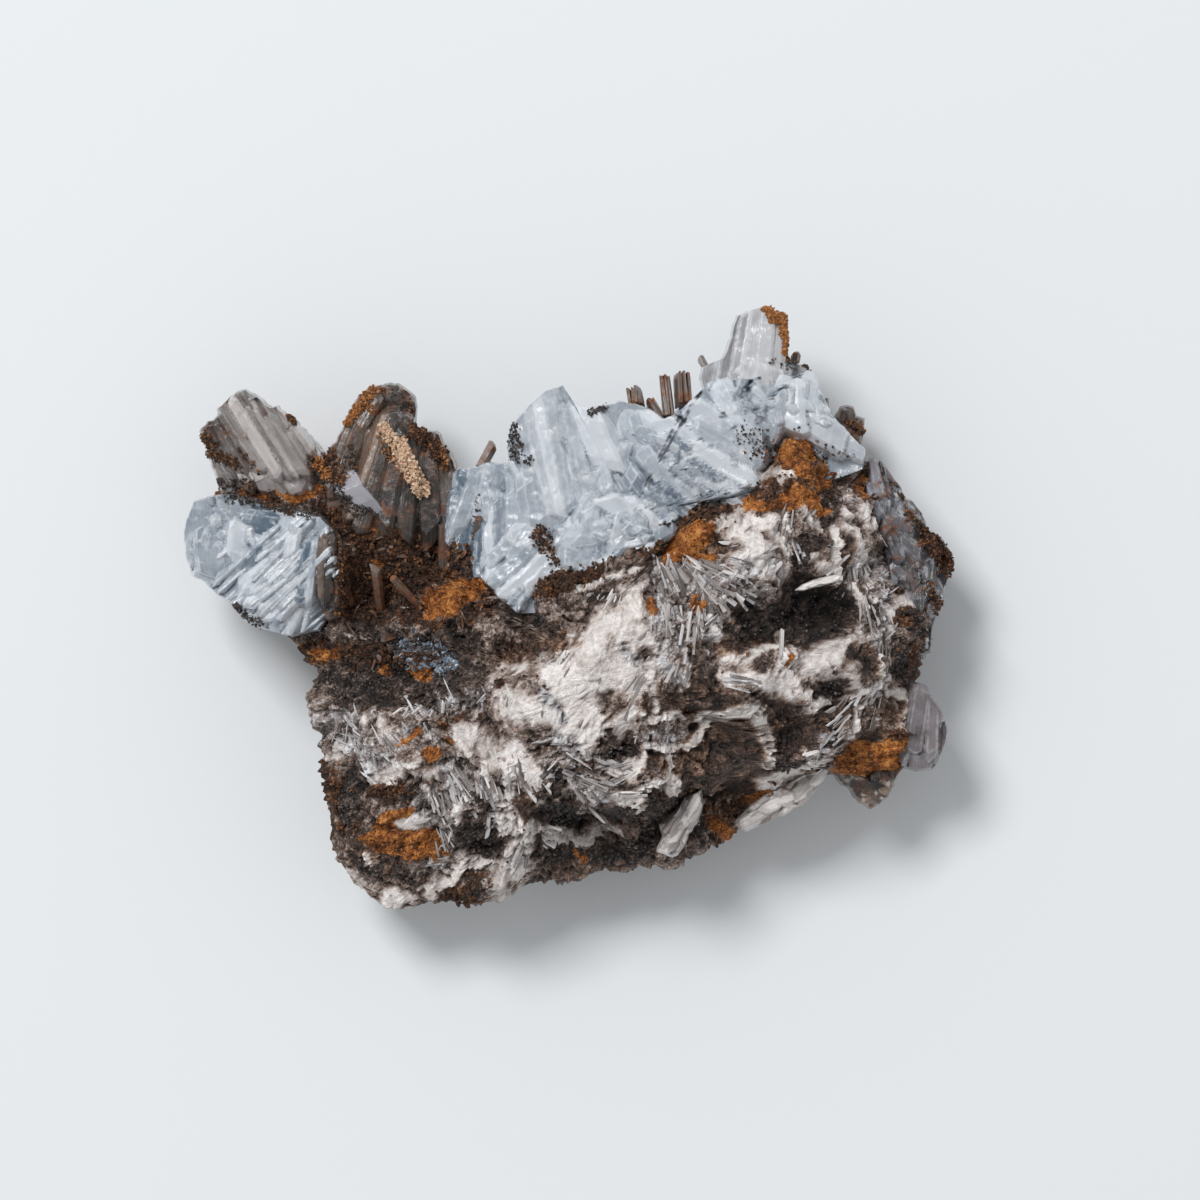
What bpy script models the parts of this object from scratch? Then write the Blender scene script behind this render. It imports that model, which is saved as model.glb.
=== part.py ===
"""Blue barite crystals on their matrix, lying on the specimen's broken back.

X runs to the specimen's right, Y towards its crystal side and Z up, out of the broken front that faces the viewer.
The origin is under the middle of the specimen, on the surface that it lies on.
Every size below is in millimetres, and MM turns it into metres.
"""

import math
from collections import namedtuple

import bmesh
import bpy
import numpy as np
from mathutils import Matrix, Vector

MM = 0.001

# The gap between a crystal and the socket that it is rooted in.
SEAM = 0.3

# The rock: its outline seen from above is a ring of points round ROCK_CENTRE.
ROCK_CENTRE = (0.0, -6.0)
ROCK_OUTLINE = [
    (47.0, 0.5), (47.2, 3.5), (45.6, 8.5), (43.4, 11.5), (41.6, 15.5), (39.6, 18.0), (37.6, 20.2),
    (34.0, 20.5), (29.0, 21.5), (22.0, 19.5), (13.0, 17.0), (4.0, 15.0), (-6.0, 13.4), (-14.0, 12.8),
    (-21.0, 14.0), (-28.0, 16.0), (-34.0, 17.8), (-40.0, 17.6), (-45.6, 17.0), (-46.4, 14.5), (-42.6, 9.0),
    (-42.8, 2.6), (-42.6, 0.4), (-40.0, -1.4), (-36.4, -3.4), (-33.4, -6.2), (-32.2, -8.0), (-33.2, -10.5),
    (-33.8, -15.0), (-32.6, -19.5), (-31.4, -23.5), (-30.0, -27.0), (-29.8, -30.5), (-30.3, -33.0),
    (-28.6, -36.4), (-25.6, -38.8), (-22.0, -39.8), (-19.0, -38.6), (-14.0, -38.3), (-9.0, -37.8),
    (-6.0, -36.2), (0.0, -36.8), (4.0, -34.9), (9.5, -33.9), (15.2, -32.6), (20.0, -30.2), (24.0, -26.4),
    (30.0, -22.6), (34.0, -21.4), (38.5, -21.6), (43.6, -20.4), (46.0, -15.0), (46.2, -9.0), (46.6, -4.0),
]

# The height of the broken front above the floor, at spots that the surface passes through.
FRONT_SPOTS = [
    # The crest of white barite and the face below the blue crystals.
    (-4.0, -11.0, 36.0), (5.0, -6.0, 37.5), (13.0, -3.0, 37.0), (23.0, 5.0, 35.5), (28.0, 14.0, 33.0),
    (36.0, 14.0, 29.0), (8.0, -14.0, 36.5), (20.0, -9.0, 34.5), (33.0, -8.0, 32.0), (40.0, -2.0, 28.0),
    # The lip that the blue crystals stand behind.
    (-9.0, -3.0, 28.5), (1.0, 2.0, 33.0), (9.0, 5.0, 33.5), (18.0, 11.5, 32.5), (30.0, 20.5, 29.5), (37.0, 18.5, 25.0),
    # The slope behind it that the blue crystals are rooted in.
    (-9.0, 8.0, 21.5), (1.0, 12.0, 24.0), (10.0, 14.0, 24.0), (19.0, 17.5, 24.0),
    # The lower left, a drusy brown and black slope.
    (-14.0, -5.0, 26.5), (-23.0, -5.0, 23.5), (-30.0, -7.0, 20.0), (-13.0, 4.0, 23.0), (-22.0, 5.0, 20.0),
    (-29.0, 6.0, 17.5), (-19.0, 11.0, 16.5), (-28.0, 13.0, 15.5), (-37.0, 14.5, 15.5), (-43.0, 15.5, 14.5),
    (-38.0, 1.0, 12.5), (-36.0, 8.0, 14.0),
    # The broken face down to its lower edge.
    (-12.0, -11.0, 31.0), (-25.0, -13.0, 26.5), (-31.0, -17.0, 22.0), (-18.0, -19.0, 29.5), (-26.0, -24.0, 24.5),
    (-22.0, -30.5, 22.5), (-11.0, -26.0, 29.5), (-9.0, -33.0, 25.0), (-18.0, -36.0, 19.0), (2.0, -21.0, 33.0),
    (9.0, -23.0, 31.5), (3.0, -31.5, 20.0), (13.0, -29.0, 19.5), (18.0, -18.0, 30.0), (22.0, -26.5, 19.0),
    (29.0, -17.0, 29.0), (36.0, -13.0, 28.0), (40.0, -18.5, 23.0), (44.5, -12.0, 21.0), (45.5, 5.0, 18.0),
]

# Hollows in the broken front, as (x, y), how wide and how deep.
HOLLOWS = [
    ((32.0, 0.5), 4.6, 6.5), ((23.5, -1.5), 3.6, 4.0), ((33.5, -9.8), 2.2, 4.5), ((7.5, -17.3), 2.2, 4.0),
    ((-12.0, -30.0), 3.4, 4.0), ((-1.0, -26.0), 3.4, 4.0), ((19.5, -17.0), 4.6, 3.0), ((28.0, -16.0), 3.0, 3.0),
    ((5.0, -28.5), 4.4, 3.0), ((-26.0, 2.0), 3.6, 3.0), ((-17.5, 8.0), 3.0, 2.5), ((-23.0, -9.5), 4.0, 2.0),
    ((37.5, -6.2), 1.8, 3.0), ((15.0, -24.0), 3.0, 3.0),
]

# Swells and ledges of the broken front, as (x, y), how wide and how high.
SWELLS = [
    ((-13.5, -9.4), 2.4, 2.0), ((28.5, -5.2), 2.0, 2.5), ((36.0, -6.5), 3.0, 2.5), ((22.0, -12.5), 3.0, 2.0),
    ((-6.5, -29.0), 2.6, 2.5), ((11.0, -21.0), 3.2, 2.5), ((-21.5, -27.3), 2.4, 1.5), ((-33.0, 15.8), 3.4, 3.0),
    ((-41.0, 15.2), 2.6, 2.0), ((-24.0, 11.5), 2.8, 2.0), ((-13.5, 1.5), 3.0, 2.5), ((31.5, 19.0), 2.4, 2.5),
    ((16.0, 9.5), 2.4, 2.0), ((40.5, 10.5), 2.4, 2.0), ((-20.0, -6.0), 2.2, 1.5), ((-28.0, 11.0), 2.0, 2.0),
]

RIM_HEIGHT = 14.0
RIM_WAVE = 2.5

# How far the rounded back would reach under the floor, before the resting face takes that away.
BACK_SINK = 3.0

# Corners within this height of the floor belong to the resting face.
RESTING_DEPTH = 0.2

LUMP_SIZE = 9.0
LUMP_HEIGHT = 1.3
KNOB_SIZE = 4.2
KNOB_HEIGHT = 0.8

# The share of the ball's triangles that the rock keeps, most of them where it is roughest.
ROCK_DETAIL = 0.52

# One crystal: the middle of its root, the middle of its tip, its width across the view, its depth and how far
# it is rolled about its own length, in degrees.
Crystal = namedtuple("Crystal", "root tip wide deep roll", defaults=(0.0,))

# The blue band, from its left end to its right.
BLUE_RIDGE = [
    # The hidden mass that the whole band stands on, and the lower one behind it.
    Crystal((-15.0, 6.5, 18.5), (38.0, 21.2, 17.0), 7.0, 13.0),
    Crystal((-7.0, 14.2, 13.0), (34.0, 24.0, 13.0), 7.0, 10.0),
    # The book of parallel plates under the arched top.
    Crystal((-2.5, 6.0, 24.0), (-3.8, 28.4, 26.5), 4.8, 11.0),
    Crystal((-4.6, 5.0, 23.0), (-5.6, 26.8, 25.5), 4.6, 10.0, 6),
    Crystal((-6.2, 5.0, 22.5), (-6.9, 24.2, 24.5), 3.8, 9.0, -8),
    Crystal((0.4, 6.0, 24.5), (-1.4, 29.6, 26.5), 4.6, 11.0, -5),
    Crystal((4.2, 7.0, 25.0), (1.3, 27.2, 26.5), 5.2, 11.5, 8),
    Crystal((7.8, 9.0, 25.0), (3.8, 26.9, 25.5), 5.6, 10.5, -10),
    # The milky block in the middle.
    Crystal((9.6, 7.0, 24.5), (6.6, 27.6, 24.5), 6.0, 11.0, 5),
    Crystal((12.4, 8.0, 24.5), (9.2, 27.2, 24.0), 5.8, 11.0, -6),
    Crystal((15.4, 10.0, 24.5), (12.0, 26.2, 24.0), 5.6, 10.0, 10),
    # The leaning plates that climb to the tall crystal.
    Crystal((20.5, 13.0, 25.0), (14.6, 26.4, 25.5), 6.6, 9.0, -12),
    Crystal((22.5, 15.0, 24.5), (17.4, 29.6, 24.5), 6.8, 9.5, 6),
    Crystal((24.6, 16.0, 23.5), (20.6, 33.0, 22.5), 6.4, 9.0, -4),
    Crystal((20.6, 22.0, 18.5), (18.0, 33.0, 18.0), 2.8, 4.5, 12),
    # The tall clear crystal.
    Crystal((24.2, 19.0, 21.5), (25.2, 39.7, 22.5), 7.6, 7.5, 4),
    # The right shoulder, stepping down.
    Crystal((28.4, 17.0, 22.0), (28.9, 33.6, 20.5), 5.4, 9.0, -8),
    Crystal((30.2, 17.0, 20.5), (31.4, 31.8, 19.0), 4.6, 8.0, 10),
    Crystal((31.0, 16.0, 20.5), (33.8, 27.4, 19.0), 4.8, 8.0, -6),
    Crystal((32.4, 15.0, 19.5), (37.4, 23.0, 18.0), 4.8, 7.0, 8),
    # The lower left corner: an upright clear blade and a fan that points down the front.
    Crystal((-8.8, 1.5, 22.5), (-10.8, 17.6, 23.5), 2.8, 7.0, 10),
    Crystal((-2.0, 8.6, 27.5), (-9.8, 2.6, 29.0), 4.0, 6.0, 15),
    Crystal((-1.6, 7.0, 28.0), (-6.6, -0.4, 28.6), 3.6, 5.0, -12),
    # The broken chunks along the lower edge.
    Crystal((8.6, 9.4, 25.5), (-0.8, 7.6, 30.4), 4.2, 6.0, 18),
    Crystal((4.0, 12.0, 27.0), (5.2, 5.2, 31.8), 5.6, 5.0, -16),
    Crystal((12.0, 14.0, 27.0), (9.2, 7.4, 31.2), 5.0, 5.4, 10),
    Crystal((12.0, 9.6, 26.5), (16.4, 15.6, 29.0), 5.4, 6.0, -14),
    # The grey blades behind the left end.
    Crystal((-15.6, 5.0, 18.5), (-13.2, 18.7, 19.5), 4.4, 7.0, 8),
    Crystal((-11.4, 5.0, 19.5), (-10.4, 19.4, 20.5), 4.6, 7.5, -10),
    Crystal((-15.4, 12.0, 17.0), (-9.8, 22.0, 16.0), 2.0, 3.4, 14),
    # The thin brown blades that stand behind the band.
    Crystal((9.6, 15.0, 18.5), (8.6, 29.2, 16.0), 2.2, 3.2, 12),
    Crystal((13.4, 15.0, 18.5), (10.7, 27.6, 16.5), 2.2, 3.2, -10),
    Crystal((15.0, 15.0, 18.5), (12.8, 31.0, 16.0), 1.8, 3.6, 8),
    Crystal((17.4, 16.0, 18.5), (14.6, 31.2, 15.5), 2.6, 3.6, -8),
    # The back row of the druse.
    Crystal((-4.0, 8.0, 14.0), (-5.4, 21.8, 9.0), 6.2, 6.0, 20),
    Crystal((5.0, 10.0, 14.0), (6.2, 23.8, 8.0), 6.6, 6.5, -16),
    Crystal((14.6, 12.0, 14.0), (15.6, 27.0, 8.6), 6.4, 6.0, 12),
    Crystal((23.6, 15.0, 14.5), (24.6, 31.6, 11.0), 6.2, 6.5, 14),
    Crystal((29.4, 16.0, 14.0), (31.0, 27.2, 10.0), 5.2, 6.0, -12),
]

# The blue crystals at the far left: a broad plate, the bright striated mass over it and a grey slab.
BLUE_CLUSTER_LEFT = [
    Crystal((-37.0, 8.6, 17.0), (-50.3, 9.4, 17.0), 9.6, 8.0, 10),
    Crystal((-41.6, 12.0, 17.5), (-49.0, 13.0, 16.5), 4.8, 7.0, -10),
    Crystal((-41.0, 9.0, 16.5), (-45.6, 1.2, 16.0), 6.0, 7.5, 12),
    Crystal((-31.4, 9.0, 19.0), (-42.4, 1.8, 22.4), 6.8, 8.0, -10),
    Crystal((-31.0, 10.0, 18.0), (-38.6, 6.6, 22.6), 5.4, 7.0, 12),
    Crystal((-33.0, 6.4, 19.0), (-37.6, -2.8, 19.6), 5.2, 8.5, 8),
    Crystal((-32.4, 10.0, 19.0), (-33.6, -1.6, 20.6), 2.4, 8.0, -6),
]

SMOKY_BLADE_LEFT = [
    Crystal((-34.6, 15.0, 16.0), (-44.4, 27.6, 19.0), 6.6, 6.5, -14),
    Crystal((-33.2, 17.0, 15.5), (-41.0, 28.2, 17.0), 4.0, 6.0, 10),
    Crystal((-32.8, 17.6, 14.0), (-37.6, 26.4, 14.0), 3.6, 5.0, 20),
    Crystal((-39.4, 14.6, 15.0), (-47.6, 23.6, 15.6), 4.2, 5.5, 16),
    Crystal((-31.6, 15.0, 14.5), (-32.9, 22.4, 14.5), 3.2, 4.5, -12),
]

SMOKY_BLADES_CENTRE = [
    Crystal((-29.4, 12.0, 16.0), (-26.0, 29.0, 16.0), 5.2, 6.0, 16),
    Crystal((-22.4, 8.0, 17.5), (-22.8, 26.2, 19.0), 6.6, 5.0, -8),
    Crystal((-23.4, 18.0, 14.0), (-22.9, 29.8, 14.5), 6.0, 6.5, 22),
    Crystal((-18.0, 9.0, 17.6), (-17.6, 23.6, 17.2), 5.8, 5.5, 12),
    Crystal((-31.4, 14.6, 17.0), (-24.6, 13.6, 19.0), 4.6, 3.0, -16),
]

SHOULDER_BLADES = [
    Crystal((34.6, 14.0, 10.5), (36.8, 27.2, 10.0), 3.4, 4.6, 12),
    Crystal((36.4, 13.0, 10.5), (38.4, 25.0, 11.0), 3.0, 4.6, -14),
]

EDGE_BLADES_RIGHT = [
    Crystal((45.0, -1.0, 15.5), (42.4, 14.5, 15.5), 5.6, 9.0),
    Crystal((41.2, 5.0, 17.0), (39.6, 20.0, 19.0), 2.4, 6.0, 14),
    Crystal((45.6, 0.5, 17.0), (41.2, 14.0, 20.5), 3.4, 6.0, -16),
    Crystal((43.6, 4.0, 14.0), (42.6, 17.4, 13.5), 3.0, 6.0, 10),
    Crystal((45.4, 2.0, 13.0), (45.4, 14.0, 12.5), 3.0, 5.5, -10),
    Crystal((44.4, -2.0, 13.5), (49.4, 9.4, 12.5), 4.0, 6.0, 12),
    Crystal((43.4, 1.0, 13.0), (50.4, 5.8, 14.0), 3.2, 5.0, -14),
]

GREY_BLADE_LOWER_RIGHT = [
    Crystal((45.4, -7.0, 15.0), (47.4, -20.6, 16.0), 4.8, 7.5, 14),
    Crystal((42.0, -11.0, 15.0), (45.0, -20.8, 15.0), 4.2, 6.5, -12),
]

# Blades of the rock itself: the long white ledge, the white tab, the splinter over the big hollow, the nub at the
# lower right and the stubs on the drusy slope.
ROCK_BLADES = [
    Crystal((34.0, -18.6, 17.0), (22.4, -27.8, 16.0), 3.8, 4.5, 10),
    Crystal((18.0, -21.6, 22.0), (12.4, -31.4, 23.5), 3.2, 3.4, -12),
    Crystal((26.6, 2.4, 31.5), (35.6, 5.0, 31.0), 1.6, 1.8, 14),
    Crystal((28.6, 4.0, 30.0), (27.8, -3.2, 32.0), 1.3, 2.0, -10),
    Crystal((39.4, -15.0, 15.0), (39.4, -26.0, 14.0), 6.4, 8.0, 12),
    Crystal((-28.2, -3.4, 14.0), (-28.8, 4.6, 21.5), 2.0, 2.4, 10),
    Crystal((-19.8, -2.0, 18.0), (-24.6, 4.4, 23.6), 1.8, 2.2, -10),
    Crystal((-21.0, -4.6, 20.0), (-27.0, -3.6, 24.6), 2.4, 2.4, 14),
    Crystal((-16.0, 4.0, 18.0), (-15.6, 12.6, 20.0), 3.4, 3.4, 10),
    Crystal((40.5, -9.0, 22.0), (34.8, -14.0, 29.6), 4.0, 3.0, -14),
    Crystal((-8.0, -24.0, 26.0), (-3.4, -30.6, 29.6), 3.0, 3.0, 12),
    Crystal((4.0, -20.0, 29.0), (13.6, -22.4, 33.6), 3.6, 2.6, -10),
]


def lattice_value(cell, seed):
    """A fixed number from 0 to 1 for each whole-numbered cell: its three indices are multiplied by large odd
    numbers and mixed, so that neighbours have nothing in common."""
    mixed = (cell * np.array([374761393, 668265263, 362437], np.int64)).sum(axis=-1) + seed * 974634777
    mixed = (mixed ^ (mixed >> 13)) & 0xFFFFFFFF
    mixed = (mixed * 1274126177) & 0xFFFFFFFF
    return ((mixed ^ (mixed >> 16)) & 0xFFFFFF) / 0xFFFFFF


def smooth_noise(points, size, seed):
    """Random values at the corners of a lattice of that size, blended inside each cell by the curve 3t^2 - 2t^3,
    from -1 to 1."""
    scaled = points / size
    cell = np.floor(scaled).astype(np.int64)
    t = scaled - cell
    t = t * t * (3 - 2 * t)
    total = np.zeros(len(points))
    for corner in np.ndindex(2, 2, 2):
        weight = np.prod(np.where(corner, t, 1 - t), axis=1)
        total += weight * lattice_value(cell + np.array(corner), seed)
    return 2 * total - 1


def outline_reach(angle):
    """How far the rock's outline is from ROCK_CENTRE in that direction, straight between the outline's points."""
    ring = np.array(ROCK_OUTLINE) - ROCK_CENTRE
    turn = np.arctan2(ring[:, 1], ring[:, 0])
    order = np.argsort(turn)
    return np.interp(angle, turn[order], np.hypot(*ring.T)[order], period=2 * math.pi)


def front_height(x, y):
    """The mean of the spots' heights, weighted by one over the fourth power of the distance, less the hollows and
    plus the swells, each a bell curve."""
    spots = np.array(FRONT_SPOTS)
    apart = (x[:, None] - spots[:, 0]) ** 2 + (y[:, None] - spots[:, 1]) ** 2
    weight = 1 / (apart + 2.0) ** 2
    height = (weight * spots[:, 2]).sum(axis=1) / weight.sum(axis=1)
    for bumps, sign in ((HOLLOWS, -1), (SWELLS, 1)):
        for (bx, by), width, change in bumps:
            height += sign * change * np.exp(-((x - bx) ** 2 + (y - by) ** 2) / width**2)
    return height


def rock_points(directions):
    """Unit directions mapped to the rock's surface: the part of the direction in plan sets how far towards the
    outline the point lies, and the front and the back each fall away to the rim as a superellipse."""
    angle = np.arctan2(directions[:, 1], directions[:, 0])
    share = np.clip(np.hypot(directions[:, 0], directions[:, 1]), 0, 1) ** 0.85
    reach = outline_reach(angle) * share
    x = ROCK_CENTRE[0] + reach * np.cos(angle)
    y = ROCK_CENTRE[1] + reach * np.sin(angle)
    rim = RIM_HEIGHT + RIM_WAVE * np.sin(2 * angle + 0.6)
    front = rim + (front_height(x, y) - rim) * (1 - share**6) ** 0.55
    back = rim - (rim + BACK_SINK) * (1 - share**3.4) ** 0.6
    z = np.where(directions[:, 2] >= 0, front, back)
    return np.stack([x, y, z], axis=1)


def mesh_object(name, mesh, material=None):
    obj = bpy.data.objects.new(name, mesh)
    bpy.context.scene.collection.objects.link(obj)
    if material:
        mesh.materials.clear()
        mesh.materials.append(material)
    return obj


def helper(obj):
    """Marks a cutter, which isn't part of the specimen."""
    obj.hide_render = True
    obj.display_type = "WIRE"
    return obj


def boolean(obj, other, operation, solver="EXACT"):
    modifier = obj.modifiers.new(other.name, "BOOLEAN")
    modifier.operation = operation
    modifier.solver = solver
    modifier.object = other


def applied(obj):
    """Makes the mesh that the modifiers give the object's own."""
    graph = bpy.context.evaluated_depsgraph_get()
    mesh = bpy.data.meshes.new_from_object(obj.evaluated_get(graph))
    obj.modifiers.clear()
    obj.data = mesh
    return obj


def crystal_mesh(name, crystal, grown=0.0):
    """A slab of six sides that widens a little from its root, then ends in a slanting roof. grown makes it larger
    all round, for its socket."""
    root, tip = Vector(crystal.root), Vector(crystal.tip)
    along = (tip - root).normalized()
    across = along.cross(Vector((0, 0, 1))).normalized()
    roll = Matrix.Rotation(math.radians(crystal.roll), 3, along)
    across = roll @ across
    outward = across.cross(along)
    length = (tip - root).length + grown
    half_wide, half_deep = crystal.wide / 2 + grown, crystal.deep / 2 + grown
    six = [(1, 0.1), (0.45, 1), (-0.55, 1), (-1, -0.1), (-0.45, -1), (0.55, -1)]
    # Each station: its place along the length, its width, its depth and how far the roof slants across it.
    stations = [
        (-grown, 0.85, 0.9, 0.0),
        (length - crystal.wide * 0.35, 0.97, 0.9, 0.0),
        (length - crystal.wide * 0.1, 0.7, 0.38, crystal.wide * 0.1),
    ]
    mesh = bmesh.new()
    rings = []
    for place, wide, deep, slant in stations:
        ring = []
        for a, b in six:
            at = root + along * (place + slant * a) + across * (a * wide * half_wide) + outward * (b * deep * half_deep)
            ring.append(mesh.verts.new(at * MM))
        rings.append(ring)
    mesh.faces.new(rings[0])
    mesh.faces.new(reversed(rings[-1]))
    for low, high in zip(rings, rings[1:]):
        for i in range(len(six)):
            j = (i + 1) % len(six)
            mesh.faces.new((low[j], low[i], high[i], high[j]))
    bmesh.ops.recalc_face_normals(mesh, faces=mesh.faces)
    bmesh.ops.triangulate(mesh, faces=mesh.faces)
    data = bpy.data.meshes.new(name)
    mesh.to_mesh(data)
    mesh.free()
    return data


def largest_body(obj):
    """Drops the chips that the sockets cut free of a solid."""
    mesh = bmesh.new()
    mesh.from_mesh(obj.data)
    left, bodies = set(mesh.verts), []
    while left:
        body, edge = set(), [left.pop()]
        while edge:
            vertex = edge.pop()
            body.add(vertex)
            near = {e.other_vert(vertex) for e in vertex.link_edges} & left
            left -= near
            edge.extend(near)
        bodies.append(body)
    bodies.sort(key=len)
    for body in bodies[:-1]:
        bmesh.ops.delete(mesh, geom=list(body), context="VERTS")
    mesh.to_mesh(obj.data)
    mesh.free()
    return obj


def grown_together(name, crystals, material=None, grown=0.0):
    """Crystals that overlap, joined in one solid."""
    group = mesh_object(name, crystal_mesh(name, crystals[0], grown), material)
    others = []
    for i, crystal in enumerate(crystals[1:]):
        other = helper(mesh_object(f"{name}_{i}", crystal_mesh(f"{name}_{i}", crystal, grown)))
        boolean(group, other, "UNION")
        others.append(other)
    applied(group)
    for other in others:
        bpy.data.objects.remove(other)
    return group


def rock(name, material=None, grown=0.0):
    """The host rock: a ball of triangles carried to the rock's surface, roughened by two sizes of lump and cut off
    flat where it rests, with its own blades joined on. grown makes it larger all round."""
    mesh = bmesh.new()
    bmesh.ops.create_icosphere(mesh, subdivisions=5, radius=1)
    directions = np.array([v.co for v in mesh.verts])
    points = rock_points(directions)
    lumps = LUMP_HEIGHT * smooth_noise(points, LUMP_SIZE, 1) + KNOB_HEIGHT * smooth_noise(points, KNOB_SIZE, 2)
    points += directions * lumps[:, None]
    points[:, 2] = np.maximum(points[:, 2], 0)
    for vertex, point in zip(mesh.verts, points):
        vertex.co = Vector(point) * MM
    data = bpy.data.meshes.new(name)
    mesh.to_mesh(data)
    mesh.free()
    body = mesh_object(name, data, material)
    coarser = body.modifiers.new("coarser", "DECIMATE")
    coarser.ratio = ROCK_DETAIL
    applied(body)
    # The coarser mesh's resting face is made flat again.
    for vertex in body.data.vertices:
        if vertex.co.z < RESTING_DEPTH * MM:
            vertex.co.z = 0
    swell(body, grown)
    blades = []
    for i, crystal in enumerate(ROCK_BLADES):
        blade = helper(mesh_object(f"rock_blade_{i}", crystal_mesh(f"rock_blade_{i}", crystal, grown)))
        boolean(body, blade, "UNION")
        blades.append(blade)
    applied(body)
    for blade in blades:
        bpy.data.objects.remove(blade)
    return body


def swell(obj, by):
    """Moves every corner outwards by that much."""
    mesh = bmesh.new()
    mesh.from_mesh(obj.data)
    mesh.normal_update()
    moved = [vertex.co + vertex.normal * by * MM for vertex in mesh.verts]
    for vertex, place in zip(mesh.verts, moved):
        vertex.co = place
    mesh.to_mesh(obj.data)
    mesh.free()


def cut_away(obj, other):
    """Takes the other solid out of this one. The exact solver loses a whole body here, so this is the manifold one."""
    boolean(obj, other, "DIFFERENCE", "MANIFOLD")
    applied(obj)
    largest_body(obj)


def material(name, colour, roughness, metallic=0.0):
    made = bpy.data.materials.new(name)
    made.use_nodes = True
    shader = made.node_tree.nodes["Principled BSDF"]
    shader.inputs["Base Color"].default_value = (*colour, 1)
    shader.inputs["Roughness"].default_value = roughness
    shader.inputs["Metallic"].default_value = metallic
    return made


def centre_over_origin(objects):
    """Moves the whole specimen so that the middle of its plan is at the origin."""
    corners = np.concatenate([[vertex.co for vertex in obj.data.vertices] for obj in objects])
    middle = (corners.min(axis=0) + corners.max(axis=0)) / 2
    for obj in objects:
        obj.data.transform(Matrix.Translation((-middle[0], -middle[1], 0)))


def clear_scene():
    for obj in list(bpy.data.objects):
        bpy.data.objects.remove(obj)


def main():
    clear_scene()
    stone = material("stone", (0.35, 0.27, 0.22), 0.85)
    blue = material("blue barite", (0.62, 0.74, 0.82), 0.2)
    smoky = material("smoky barite", (0.33, 0.27, 0.23), 0.3)
    grey = material("grey barite", (0.45, 0.43, 0.44), 0.3)
    groups = [
        ("blue_ridge", BLUE_RIDGE, blue),
        ("blue_cluster_left", BLUE_CLUSTER_LEFT, blue),
        ("smoky_blade_left", SMOKY_BLADE_LEFT, smoky),
        ("smoky_blades_centre", SMOKY_BLADES_CENTRE, smoky),
        ("shoulder_blades", SHOULDER_BLADES, smoky),
        ("edge_blades_right", EDGE_BLADES_RIGHT, smoky),
        ("grey_blade_lower_right", GREY_BLADE_LOWER_RIGHT, grey),
    ]
    pieces = [rock("matrix", stone)]
    # Each group stops a seam short of the rock and of the groups before it. The rock is taken away at three sizes,
    # because a larger one folds over in its steepest hollows.
    taken = [helper(rock(f"rock_room_{i}", grown=share * SEAM)) for i, share in enumerate((1.0, 0.5, 0.15))]
    for name, crystals, finish in groups:
        group = grown_together(name, crystals, finish)
        for solid in taken:
            cut_away(group, solid)
        pieces.append(group)
        room = grown_together(f"{name}_room", crystals, grown=SEAM)
        taken.append(helper(room))
    for solid in taken:
        bpy.data.objects.remove(solid)
    centre_over_origin(pieces)


main()
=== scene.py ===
"""Blue barite on its matrix, as it looks: pale blue and smoky blades along the edge of a broken, rusty rock
with white veins. Sizes are in millimetres, in the plan of the specimen: x to the right, y towards the
crystals, z up out of the broken front. in_metres() carries them to the solid model's frame."""

import math

import bpy
import numpy as np
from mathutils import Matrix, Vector


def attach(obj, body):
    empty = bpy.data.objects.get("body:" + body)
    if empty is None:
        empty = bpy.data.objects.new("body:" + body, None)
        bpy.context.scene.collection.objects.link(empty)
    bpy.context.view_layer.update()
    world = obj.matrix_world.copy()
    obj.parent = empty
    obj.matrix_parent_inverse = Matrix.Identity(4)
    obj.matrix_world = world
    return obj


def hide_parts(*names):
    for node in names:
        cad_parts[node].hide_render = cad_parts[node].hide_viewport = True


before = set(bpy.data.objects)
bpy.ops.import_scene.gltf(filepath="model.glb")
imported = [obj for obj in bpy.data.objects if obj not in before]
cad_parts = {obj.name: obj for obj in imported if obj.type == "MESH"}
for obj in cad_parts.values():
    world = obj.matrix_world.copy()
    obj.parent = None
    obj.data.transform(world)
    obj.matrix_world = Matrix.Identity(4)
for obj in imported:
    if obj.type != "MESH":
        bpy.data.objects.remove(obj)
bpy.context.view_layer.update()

MM = 0.001
# The solid model is centred over its origin, and the plan below isn't quite.
PLAN_SHIFT = np.array([-0.4334, -0.1574, 0.0])
BARITE_IOR = 1.636


# Shape: the rock

ROCK_CENTRE = (0.0, -6.0)
ROCK_OUTLINE = [
    (47, 0.5), (47.2, 3.5), (45.6, 8.5), (43.4, 11.5), (41.6, 15.5), (39.6, 18), (37.6, 20.2), (35, 22.6),
    (33, 25), (29.6, 26), (25, 23), (21, 19.8), (13, 17), (4, 15), (-6, 13.4), (-14, 12.8), (-21, 14),
    (-28, 16), (-34, 17.8), (-40, 17.6), (-45.6, 17), (-46.4, 14.5), (-42.6, 9), (-42.8, 2.6), (-42.6, 0.4),
    (-40, -1.4), (-36.4, -3.4), (-33.4, -6.2), (-32.2, -8), (-33.2, -10.5), (-33.8, -15), (-32.6, -19.5),
    (-31.4, -23.5), (-30, -27), (-29.8, -30.5), (-30.3, -33), (-28.6, -36.4), (-25.6, -38.8), (-22, -39.8),
    (-19, -38.6), (-14, -38.3), (-9, -37.8), (-6, -36.2), (0, -36.8), (4, -34.9), (9.5, -33.9), (15.2, -32.6),
    (20, -30.2), (24, -26.4), (30, -22.6), (34, -21.4), (38.5, -21.6), (43.6, -20.4), (46, -15), (46.2, -9),
    (46.6, -4),
]

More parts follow.
